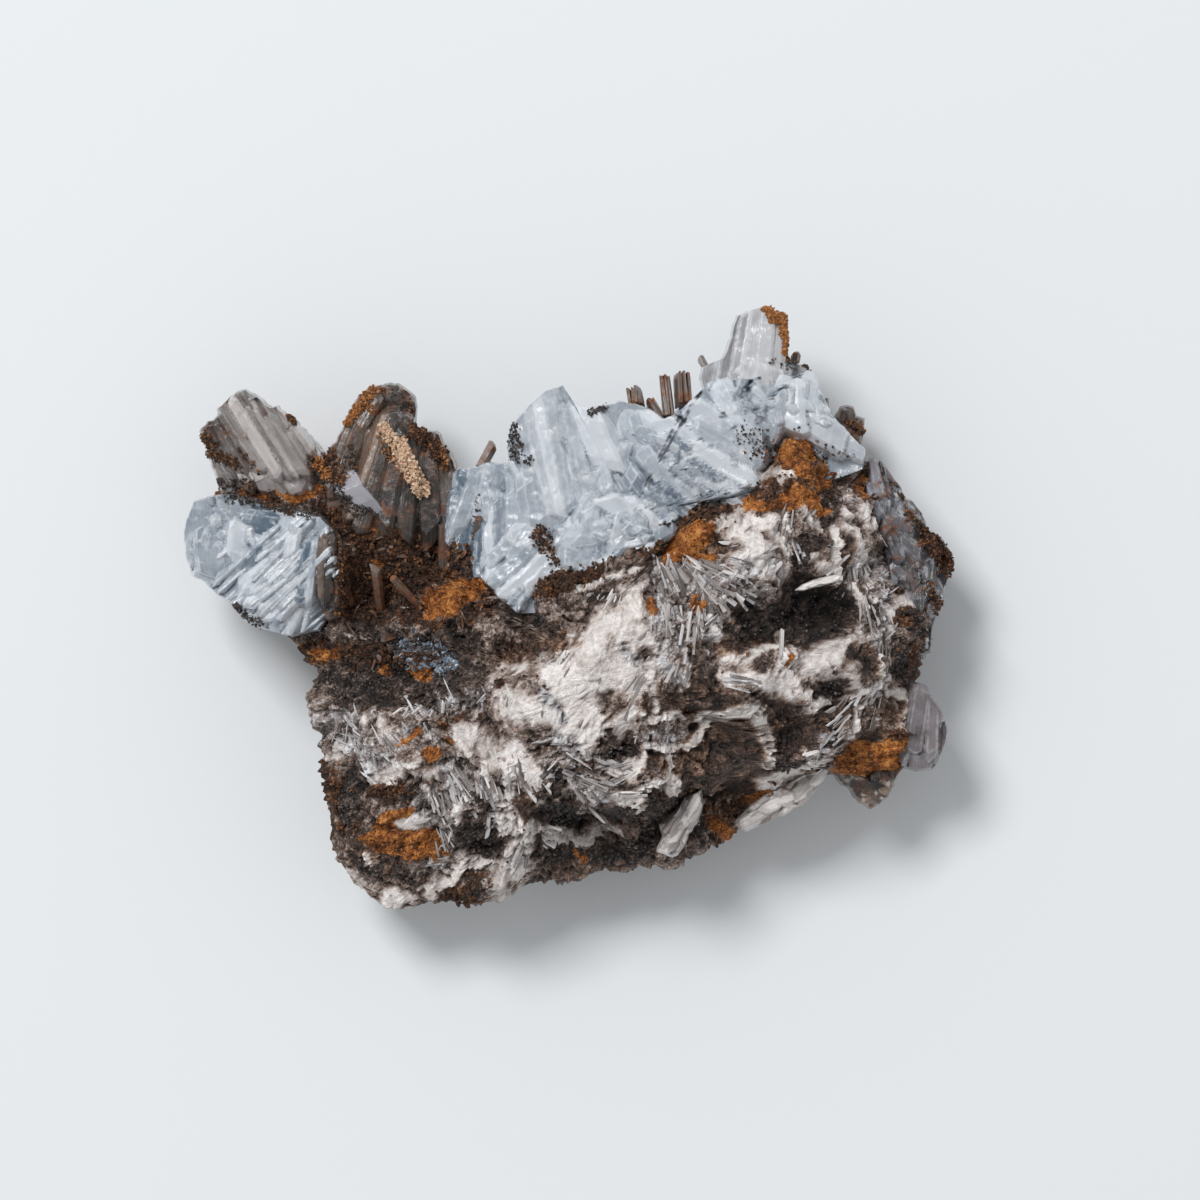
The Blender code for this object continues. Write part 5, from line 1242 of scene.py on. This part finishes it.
def many_blades(name, spots, along, up, length, wide, thick, material, rng):
    """A small blade at each spot: six-sided, its tip closed to a slanting edge. Every array has one row per
    blade."""
    across = np.cross(along, up)
    across /= np.linalg.norm(across, axis=1, keepdims=True) + 1e-9
    outwards = np.cross(across, along)
    profile = np.array([(1, 0.1), (0.5, 1), (-0.5, 1), (-1, -0.1), (-0.5, -1), (0.5, -1)])
    stations = [(-0.35, 0.85, 0.9), (0.6, 1.0, 1.0), (0.9, 0.85, 0.55), (1.0, 0.6, 0.12)]
    corners = len(stations) * len(profile)
    slant = rng.uniform(-0.2, 0.2, len(spots))
    rows = []
    for place, w, d in stations:
        for a, b in profile:
            far = length * (place + slant * a * (place > 0.5))
            rows.append(
                spots
                + along * far[:, None]
                + across * (a * w * wide / 2)[:, None]
                + outwards * (b * d * thick / 2)[:, None]
            )
    points = np.stack(rows, axis=1)
    ends = [(0, 3, 2, 1), (0, 5, 4, 3), (18, 19, 20, 21), (18, 21, 22, 23)]
    shape = np.concatenate([quads(len(stations), len(profile), around=True), ends])
    faces = (shape[None] + (np.arange(len(spots)) * corners)[:, None, None]).reshape(-1, 4)
    tone = np.repeat(rng.uniform(0, 1, len(spots)), corners)
    places = np.tile(np.repeat([place for place, _, _ in stations], len(profile)), len(spots))
    far = places * np.repeat(length, corners)
    around = np.tile(np.arange(len(profile)), len(stations) * len(spots)) * np.repeat(wide, corners) / 3
    uv = np.stack([around + tone * 40, far + tone * 90], axis=1)
    piece(name, points.reshape(-1, 3), faces, material, "stone", uv=uv, tone=tone)


def many_grains(name, spots, size, material, rng, tone=None):
    """A lump at each spot: an eight-sided body whose six corners are pulled in and out at random."""
    corners = np.array([(1, 0, 0), (-1, 0, 0), (0, 1, 0), (0, -1, 0), (0, 0, 1), (0, 0, -1)], float)
    shape = np.array([(0, 2, 4), (2, 1, 4), (1, 3, 4), (3, 0, 4), (2, 0, 5), (1, 2, 5), (3, 1, 5), (0, 3, 5)])
    spin = np.linalg.qr(rng.normal(size=(len(spots), 3, 3)))[0]
    spin[:, :, 0] *= np.sign(np.linalg.det(spin))[:, None]
    lumps = corners[None] * rng.uniform(0.55, 1.3, (len(spots), 6, 1)) * size[:, None, None]
    points = np.einsum("nij,nkj->nki", spin, lumps) + spots[:, None]
    faces = (shape[None] + (np.arange(len(spots)) * 6)[:, None, None]).reshape(-1, 3)
    tone = np.repeat(rng.uniform(0, 1, len(spots)) if tone is None else tone, 6)
    piece(name, points.reshape(-1, 3), faces, material, "stone", tone=tone)


def chosen(weights, count, rng):
    """Row numbers drawn at random, likelier where the weight is higher."""
    return rng.choice(len(weights), count, p=weights / weights.sum())


# Colour


def srgb(red, green, blue):
    """A colour written as 0 to 255 on a screen, as the linear light that a shader takes."""
    light = [c / 255 for c in (red, green, blue)]
    return tuple(c / 12.92 if c <= 0.04045 else ((c + 0.055) / 1.055) ** 2.4 for c in light) + (1.0,)


def set_inputs(tree, node, inputs):
    """Sets each input of a node to a value, or joins it to another node's output."""
    for key, value in inputs.items():
        if isinstance(value, bpy.types.NodeSocket):
            tree.links.new(value, node.inputs[key])
        else:
            node.inputs[key].default_value = value
    return node


def add(tree, kind, inputs, **settings):
    node = tree.nodes.new(kind)
    for key, value in settings.items():
        setattr(node, key, value)
    return set_inputs(tree, node, inputs)


def maths(tree, operation, first, second=0.0, clamp=False):
    return add(tree, "ShaderNodeMath", {0: first, 1: second}, operation=operation, use_clamp=clamp).outputs[0]


def times(tree, first, second):
    return maths(tree, "MULTIPLY", first, second)


def plus(tree, first, second):
    return maths(tree, "ADD", first, second)


def minus(tree, first, second):
    return maths(tree, "SUBTRACT", first, second)


def blend(tree, share, first, second, how="MIX"):
    inputs = {0: share, 6: first, 7: second}
    return add(tree, "ShaderNodeMix", inputs, data_type="RGBA", blend_type=how).outputs[2]


def between(tree, value, low, high):
    """0 below low, 1 above high."""
    return add(tree, "ShaderNodeMapRange", {0: value, 1: low, 2: high}, clamp=True).outputs[0]


def attribute(tree, name):
    return add(tree, "ShaderNodeAttribute", {}, attribute_name=name).outputs["Fac"]


def shared(name, takes, gives):
    """An empty shared effect with named inputs and outputs."""
    tree = bpy.data.node_groups.new(name, "ShaderNodeTree")
    for label, kind, value in takes:
        socket = tree.interface.new_socket(label, in_out="INPUT", socket_type=kind)
        if value is not None:
            socket.default_value = value
    for label, kind in gives:
        tree.interface.new_socket(label, in_out="OUTPUT", socket_type=kind)
    return tree, tree.nodes.new("NodeGroupInput"), tree.nodes.new("NodeGroupOutput")


def noise(tree, vector, scale, detail, rough):
    inputs = {"Vector": vector, "Scale": scale, "Detail": detail, "Roughness": rough}
    return add(tree, "ShaderNodeTexNoise", inputs).outputs[0]


def speckle_effect():
    """Fine mineral speckle: noise and a pattern of grains, as a tone from 0 to 1, a height and a number for
    each grain."""
    tree, given, out = shared(
        "Mineral speckle",
        [
            ("Vector", "NodeSocketVector", None), ("Scale", "NodeSocketFloat", 900.0),
            ("Contrast", "NodeSocketFloat", 1.0),
        ],
        [("Tone", "NodeSocketFloat"), ("Height", "NodeSocketFloat"), ("Grain", "NodeSocketFloat")],
    )
    vector, scale = given.outputs["Vector"], given.outputs["Scale"]
    coarse = noise(tree, vector, scale, 6, 0.65)
    cells = add(tree, "ShaderNodeTexVoronoi", {"Vector": vector, "Scale": times(tree, scale, 1.7)})
    tone = plus(tree, times(tree, coarse, 0.65), times(tree, cells.outputs["Color"], 0.35))
    centred = times(tree, minus(tree, tone, 0.5), given.outputs["Contrast"])
    set_inputs(tree, out, {
        "Tone": maths(tree, "ADD", centred, 0.5, True),
        "Height": minus(tree, coarse, times(tree, cells.outputs["Distance"], 0.6)),
        "Grain": add(tree, "ShaderNodeSeparateXYZ", {0: cells.outputs["Color"]}).outputs[0],
    })
    return tree


def growth_effect():
    """Growth lines that run along a crystal, from its own map: across is fine and along is stretched, as a
    tone and a height."""
    tree, given, out = shared(
        "Growth lines",
        [
            ("Vector", "NodeSocketVector", None), ("Spacing", "NodeSocketFloat", 2.2),
            ("Stretch", "NodeSocketFloat", 0.09),
        ],
        [("Tone", "NodeSocketFloat"), ("Height", "NodeSocketFloat")],
    )
    spacing = given.outputs["Spacing"]
    parts = add(tree, "ShaderNodeSeparateXYZ", {0: given.outputs["Vector"]})
    across = times(tree, parts.outputs[0], spacing)
    along = times(tree, times(tree, parts.outputs[1], spacing), given.outputs["Stretch"])
    place = add(tree, "ShaderNodeCombineXYZ", {0: across, 1: along}).outputs[0]
    wide = noise(tree, place, 1.0, 5, 0.6)
    fine = noise(tree, place, 3.7, 3, 0.5)
    set_inputs(tree, out, {
        "Tone": between(tree, wide, 0.32, 0.68), "Height": plus(tree, wide, times(tree, fine, 0.35)),
    })
    return tree


def stain_effect():
    """Iron stain: patches of rust and ochre laid over a colour, thickest where Amount is high."""
    tree, given, out = shared(
        "Iron stain",
        [
            ("Vector", "NodeSocketVector", None), ("Color", "NodeSocketColor", (0.5, 0.5, 0.5, 1)),
            ("Amount", "NodeSocketFloat", 0.5), ("Scale", "NodeSocketFloat", 300.0),
            ("Roughness", "NodeSocketFloat", 0.3),
        ],
        [("Color", "NodeSocketColor"), ("Roughness", "NodeSocketFloat")],
    )
    vector, scale = given.outputs["Vector"], given.outputs["Scale"]
    patch = noise(tree, vector, scale, 7, 0.68)
    cover = between(tree, plus(tree, patch, times(tree, given.outputs["Amount"], 0.6)), 0.66, 0.8)
    hue = noise(tree, vector, times(tree, scale, 2.3), 5, 0.6)
    rust = blend(tree, between(tree, hue, 0.35, 0.68), srgb(66, 38, 24), srgb(150, 88, 42))
    set_inputs(tree, out, {
        "Color": blend(tree, cover, given.outputs["Color"], rust),
        "Roughness": maths(tree, "MAXIMUM", given.outputs["Roughness"], times(tree, cover, 0.85)),
    })
    return tree


def use(tree, effect, inputs):
    return add(tree, "ShaderNodeGroup", inputs, node_tree=effect)


def new_material(name):
    made = bpy.data.materials.new(name)
    made.use_nodes = True
    tree = made.node_tree
    shader = tree.nodes["Principled BSDF"]
    return made, tree, shader, add(tree, "ShaderNodeTexCoord", {}).outputs["Object"]


def bump(tree, height, distance, strength, shader):
    node = add(tree, "ShaderNodeBump", {"Height": height, "Distance": distance, "Strength": strength})
    tree.links.new(node.outputs[0], shader.inputs["Normal"])


def ramp(tree, value, stops):
    """A colour that runs through the stops, each a place from 0 to 1 and a colour."""
    node = add(tree, "ShaderNodeValToRGB", {0: value})
    places = node.color_ramp.elements
    while len(places) < len(stops):
        places.new(0.5)
    for made, (place, colour) in zip(places, stops):
        made.position = place
        made.color = srgb(*colour)
    return node.outputs[0]


def weighted(tree, parts):
    """The sum of the parts, each a value and its weight."""
    total = times(tree, *parts[0])
    for value, weight in parts[1:]:
        total = plus(tree, total, times(tree, value, weight))
    return total


def rock_material(effects):
    """The matrix. Grains of two sizes, patches of two sizes and the broken faces' own tone give a lightness,
    which the white and grey minerals and thin veins raise, and the black and brown ones and painted shade in
    the hollows lower. It runs from black-brown through beige to white. Rust and ochre lie over that, and a
    brown painted shade darkens the hollows."""
    made, tree, shader, where = new_material("matrix rock")
    white, vein, grey, brown, black, deep, bladed, tone, rust, ochre = (
        attribute(tree, name)
        for name in ("white", "vein", "grey", "brown", "black", "deep", "bladed", "tone", "rust", "ochre")
    )
    grown = add(tree, "ShaderNodeUVMap", {}, uv_map="growth").outputs[0]
    fibres = use(tree, effects["growth"], {"Vector": grown, "Spacing": 2.3, "Stretch": 0.1})
    speck = use(tree, effects["speckle"], {"Vector": where, "Scale": 1100.0, "Contrast": 1.6})
    fine = use(tree, effects["speckle"], {"Vector": where, "Scale": 2700.0, "Contrast": 1.6})
    patch = noise(tree, where, 480.0, 7, 0.7)
    blotch = noise(tree, where, 170.0, 6, 0.65)
    thread = maths(tree, "ABSOLUTE", minus(tree, noise(tree, where, 210.0, 7, 0.62), 0.5))
    thread = minus(tree, 1.0, between(tree, thread, 0.0, 0.035))
    common = weighted(tree, [
        (fine.outputs["Grain"], 0.26), (speck.outputs["Grain"], 0.16), (between(tree, patch, 0.3, 0.7), 0.34),
        (between(tree, blotch, 0.35, 0.65), 0.14), (tone, 0.10),
    ])
    streaks = times(tree, minus(tree, fibres.outputs["Tone"], 0.5), bladed)
    uneven = minus(tree, 1.0, times(tree, maths(tree, "MAXIMUM", white, vein), 0.62))
    light = weighted(tree, [
        # deep lowers the lightness as painted shade in the hollows.
        (times(tree, minus(tree, common, 0.5), uneven), 1.0), (white, 0.42), (vein, 0.46), (grey, 0.19),
        (times(tree, thread, uneven), 0.18), (streaks, 0.5), (black, -0.18), (brown, -0.04), (deep, -0.24),
    ])
    stone = ramp(tree, plus(tree, light, 0.44), [
        (0.0, (20, 15, 14)), (0.22, (52, 40, 35)), (0.4, (98, 80, 70)), (0.58, (156, 138, 128)),
        (0.76, (206, 194, 188)), (0.95, (248, 242, 238)),
    ])
    cool = blend(tree, times(tree, grey, 0.7), (1, 1, 1, 1), srgb(228, 236, 246))
    warm = blend(tree, brown, (1, 1, 1, 1), srgb(244, 220, 196))
    colour = blend(tree, 1.0, blend(tree, 1.0, stone, cool, "MULTIPLY"), warm, "MULTIPLY")
    mottled = weighted(tree, [
        (fine.outputs["Grain"], 0.34), (speck.outputs["Grain"], 0.26),
        (between(tree, patch, 0.35, 0.65), 0.4),
    ])
    for oxide, low, stops in (
        (rust, 0.5, [
            (0.1, (18, 13, 11)), (0.5, (62, 40, 28)), (0.72, (118, 76, 46)), (1.0, (190, 148, 110)),
        ]),
        (ochre, 0.42, [
            (0.1, (44, 25, 13)), (0.4, (128, 72, 28)), (0.62, (182, 110, 42)), (0.95, (222, 168, 104)),
        ]),
    ):
        edge = plus(tree, oxide, times(tree, minus(tree, patch, 0.5), 2.4))
        colour = blend(tree, between(tree, edge, low, low + 0.2), colour, ramp(tree, mottled, stops))
    # Painted shade: the hollows turn a darker brown.
    hollow_shade = blend(tree, deep, (1, 1, 1, 1), srgb(92, 72, 62))
    gloss = maths(tree, "MAXIMUM", brown, bladed)
    set_inputs(tree, shader, {
        "Base Color": blend(tree, 1.0, colour, hollow_shade, "MULTIPLY"),
        "Roughness": minus(tree, 0.8, times(tree, gloss, 0.4)),
    })
    lined = times(tree, fibres.outputs["Height"], bladed)
    height = weighted(tree, [
        (speck.outputs["Height"], 0.8), (fine.outputs["Height"], 0.5), (lined, 1.6), (patch, 1.2),
    ])
    bump(tree, height, 0.0005, 0.6, shader)
    return made


def crystal_material(effects, name, dark, light, through, rough, stain, lines, veil, broken=0.0, absorb=None):
    """A barite crystal: its colour runs from dark to light with the growth lines, a milky veil and the
    crystal's own tone, turns white in frosty patches and along broken edges, and has iron stain over that.
    The white along the edges is partly chipped barite and partly painted highlight, as strong as broken
    says. through is how clear it is, and absorb is the colour that it keeps inside and how fast it takes
    the rest."""
    made, tree, shader, where = new_material(name)
    grown = add(tree, "ShaderNodeUVMap", {}, uv_map="growth").outputs[0]
    growth = use(tree, effects["growth"], {"Vector": grown, "Spacing": 3.4, "Stretch": 0.045})
    milk = noise(tree, where, 230.0, 5, 0.6)
    lined = times(tree, minus(tree, growth.outputs["Tone"], 0.5), lines)
    veiled = times(tree, minus(tree, between(tree, milk, 0.3, 0.7), 0.5), veil)
    mixed = plus(tree, plus(tree, lined, veiled), attribute(tree, "tone"))
    colour = blend(tree, between(tree, mixed, 0.0, 1.0), srgb(*dark), srgb(*light))
    if broken:
        # White along creases and borders: partly chipped barite, partly painted highlight.
        chips_and_glints = between(tree, noise(tree, where, 900.0, 4, 0.6), 0.42, 0.6)
        frost = between(tree, noise(tree, where, 420.0, 8, 0.72), 0.54, 0.72)
        frost_chips_and_highlight = maths(tree, "MAXIMUM", times(tree, attribute(tree, "edge"), chips_and_glints), times(tree, frost, 0.75))
        colour = blend(tree, times(tree, frost_chips_and_highlight, broken), colour, srgb(246, 248, 250))
    stained = use(tree, effects["stain"], {
        "Vector": where, "Color": colour, "Amount": stain, "Scale": 420.0, "Roughness": rough,
    })
    set_inputs(tree, shader, {
        "Base Color": stained.outputs["Color"], "Roughness": stained.outputs["Roughness"], "IOR": BARITE_IOR,
        "Transmission Weight": through,
    })
    bump(tree, plus(tree, growth.outputs["Height"], times(tree, milk, 2.2)), 0.0002, 0.45, shader)
    if absorb:
        keeps, density = absorb
        inside = add(tree, "ShaderNodeVolumeAbsorption", {"Color": (*keeps, 1), "Density": density})
        output = next(node for node in tree.nodes if node.type == "OUTPUT_MATERIAL")
        tree.links.new(inside.outputs[0], output.inputs["Volume"])
    return made


def crust_material(effects, name, dark, middle, light, rough=0.85, shine=0.5):
    """Grains of iron or manganese oxide, each with its own tone, most of them dark to middling."""
    made, tree, shader, where = new_material(name)
    speck = use(tree, effects["speckle"], {"Vector": where, "Scale": 2200.0, "Contrast": 1.4})
    mixed = weighted(tree, [(speck.outputs["Tone"], 0.35), (attribute(tree, "tone"), 0.65)])
    colour = blend(tree, between(tree, mixed, 0.1, 0.6), srgb(*dark), srgb(*middle))
    set_inputs(tree, shader, {
        "Base Color": blend(tree, between(tree, mixed, 0.6, 0.95), colour, srgb(*light)), "Roughness": rough,
        "Specular IOR Level": shine,
    })
    bump(tree, speck.outputs["Height"], 0.0002, 0.6, shader)
    return made


# The specimen


def build_rock_blades(rock_front, finishes):
    """Small blades that lie along the grain of the white and grey rock, and every way in its brown druse and
    its sparkling patch, all of them inside the rock's outline."""
    points, outwards, masks = rock_front
    for name, key, finish, count, size, loose, seed in ROCK_BLADES:
        rng = np.random.default_rng(seed)
        at = chosen(masks[key] ** 1.5 * (outwards[:, 2] > 0.45), count, rng)
        turn = grain_angle(points[at, 0], points[at, 1]) + rng.normal(0, loose, count)
        turn += math.pi * rng.integers(0, 2, count)
        along = headings(turn, rng.uniform(-0.25, loose * 0.3 - 0.05, count))
        up = outwards[at] + rng.normal(0, 0.3, (count, 3))
        length = (rng.gamma(3.0, 0.36, count) + 0.4) * size
        tip = points[at] + along * length[:, None] - [*ROCK_CENTRE, 0]
        reach = outline_reach(np.arctan2(tip[:, 1], tip[:, 0]), ROCK_OUTLINE, ROCK_CENTRE, 0.0)
        length = np.where(np.hypot(tip[:, 0], tip[:, 1]) < reach * 0.97, length, 0.5)
        wide, thick = rng.uniform(0.2, 0.7, count), rng.uniform(0.1, 0.35, count)
        roots = points[at] - outwards[at] * 0.08
        many_blades(name, roots, along, up, length, wide, thick, finishes[finish], rng)


def build_sprays(rock_front, finishes):
    """The sprays: side by side round a spot, each blade lying on the rock at the nearest point of its
    surface."""
    points, outwards, _ = rock_front
    rng = np.random.default_rng(27)
    spots, turns, lengths = [], [], []
    for cx, cy, spread, turn, fan, length, count in SPRAYS:
        way = math.radians(turn)
        cos, sin = math.cos(way), math.sin(way)
        aside, ahead = rng.normal(0, spread, count), rng.normal(0, spread * 0.7, count)
        turns.append(way + np.radians(fan) * (-0.8 * aside / spread + rng.normal(0, 0.5, count)))
        lengths.append(length * rng.uniform(0.45, 1.1, count))
        spots.append(np.stack([cx - sin * aside + cos * ahead, cy + cos * aside + sin * ahead], axis=1))
    spots, turns, lengths = (np.concatenate(rows) for rows in (spots, turns, lengths))
    count = len(spots)
    nearest = [int(np.argmin(((points[:, :2] - spot) ** 2).sum(axis=1))) for spot in spots]
    along = headings(turns, rng.uniform(-0.07, 0.07, count))
    up = outwards[nearest] + rng.normal(0, 0.28, (count, 3))
    sunk = outwards[nearest] * rng.uniform(-0.02, 0.14, (count, 1))
    start = points[nearest] - along * (lengths * 0.25)[:, None] - sunk
    wide, thick = rng.gamma(4.0, 0.08, count) + 0.1, rng.uniform(0.1, 0.26, count)
    silvery = rng.random(count) < 0.5
    for name, finish, at in (("silver_sprays", "silver", silvery), ("white_sprays", "white", ~silvery)):
        many_blades(
            name, start[at], along[at], up[at], lengths[at] * 0.75, wide[at], thick[at],
            finishes[finish], rng,
        )


def build_crusts(surfaces, rock_front, finishes):
    """Grains of oxide: over the rusty and black parts of the rock, and in the patches that the crystals
    carry."""
    points, outwards, masks = rock_front
    for name, key, finish, count, low, high, seed in ROCK_GRAINS:
        rng = np.random.default_rng(seed)
        share = masks[key] ** 2 + 0.004 * (1 - masks["white"]) ** 4
        at = chosen(share * (outwards[:, 2] > 0.25), count, rng)
        _, _, clump, border = facets(points[at], CLUMP, 35)
        heap = 0.08 + 1.3 * np.clip(border, 0, 0.6) * (key == "rust")
        spots = points[at] + outwards[at] * heap[:, None] + rng.normal(0, 0.14, (count, 3))
        size = rng.uniform(low, high, count)
        many_grains(name, spots, size, finishes[finish], rng, 0.6 * clump + 0.4 * rng.random(count))
    points, outwards = (np.concatenate(rows) for rows in zip(*surfaces))
    for seed, (key, (count, low, high, heap, bands)) in enumerate(CRUSTS.items()):
        rng = np.random.default_rng(60 + seed)
        at = chosen(np.clip(band_field(points[:, 0], points[:, 1], bands) - 0.35, 0, 1), count, rng)
        spots = points[at] + outwards[at] * rng.uniform(0, heap, (count, 1)) + rng.normal(0, 0.07, (count, 3))
        many_grains(key + "_crust", spots, rng.uniform(low, high, count), finishes[key], rng)


def build_specimen():
    effects = {"speckle": speckle_effect(), "growth": growth_effect(), "stain": stain_effect()}
    rock = rock_material(effects)
    finishes = {key: crystal_material(effects, **values) for key, values in CRYSTAL_FINISHES.items()}
    finishes |= {key: crust_material(effects, **values) for key, values in CRUST_FINISHES.items()}
    rock_front = build_rock(rock)
    surfaces = []
    for name, shape, crystals, finish, slot, *rest in MASSES:
        surface = grown_mass(name, shape, crystals, finishes[finish], slot, *rest)
        if slot != "stone":
            surfaces.append(surface)
    for name, crystals, finish, slot, seed in FREE_CRYSTALS:
        crystal_group(name, crystals, finishes[finish], slot, seed)
    build_rock_blades(rock_front, finishes)
    build_sprays(rock_front, finishes)
    build_crusts(surfaces, rock_front, finishes)


def build_floor():
    far = FLOOR_SIZE / 2
    mesh = bpy.data.meshes.new("floor")
    mesh.from_pydata([(-far, -far, 0), (far, -far, 0), (far, far, 0), (-far, far, 0)], [], [(0, 1, 2, 3)])
    floor = bpy.data.objects.new("floor", mesh)
    bpy.context.scene.collection.objects.link(floor)
    paint = bpy.data.materials.new("pale floor")
    paint.use_nodes = True
    shader = paint.node_tree.nodes["Principled BSDF"]
    shader.inputs["Base Color"].default_value = srgb(231, 234, 236)
    shader.inputs["Roughness"].default_value = 0.9
    shader.inputs["Specular IOR Level"].default_value = 0.0
    mesh.materials.append(paint)


def build_light():
    """A soft light from the upper left, and a paler room all round."""
    light = bpy.data.lights.new("key", "AREA")
    light.size = KEY_SIZE
    light.energy = KEY_POWER
    key = bpy.data.objects.new("key", light)
    key.location = KEY_PLACE
    key.rotation_euler = (Vector(KEY_AIM) - key.location).to_track_quat("-Z", "Y").to_euler()
    bpy.context.scene.collection.objects.link(key)

    world = bpy.data.worlds.new("room")
    world.use_nodes = True
    background = world.node_tree.nodes["Background"]
    background.inputs["Color"].default_value = (0.96, 0.98, 1.0, 1)
    background.inputs["Strength"].default_value = ROOM_STRENGTH
    bpy.context.scene.world = world


def build_camera():
    """The camera looks straight down on the front."""
    lens = bpy.data.cameras.new("camera")
    lens.lens = CAMERA_LENS
    lens.clip_end = 10
    camera = bpy.data.objects.new("camera", lens)
    camera.location = CAMERA_PLACE
    bpy.context.scene.collection.objects.link(camera)
    bpy.context.scene.camera = camera
    bpy.context.scene.view_settings.view_transform = "Standard"


build_specimen()
build_floor()
build_light()
build_camera()
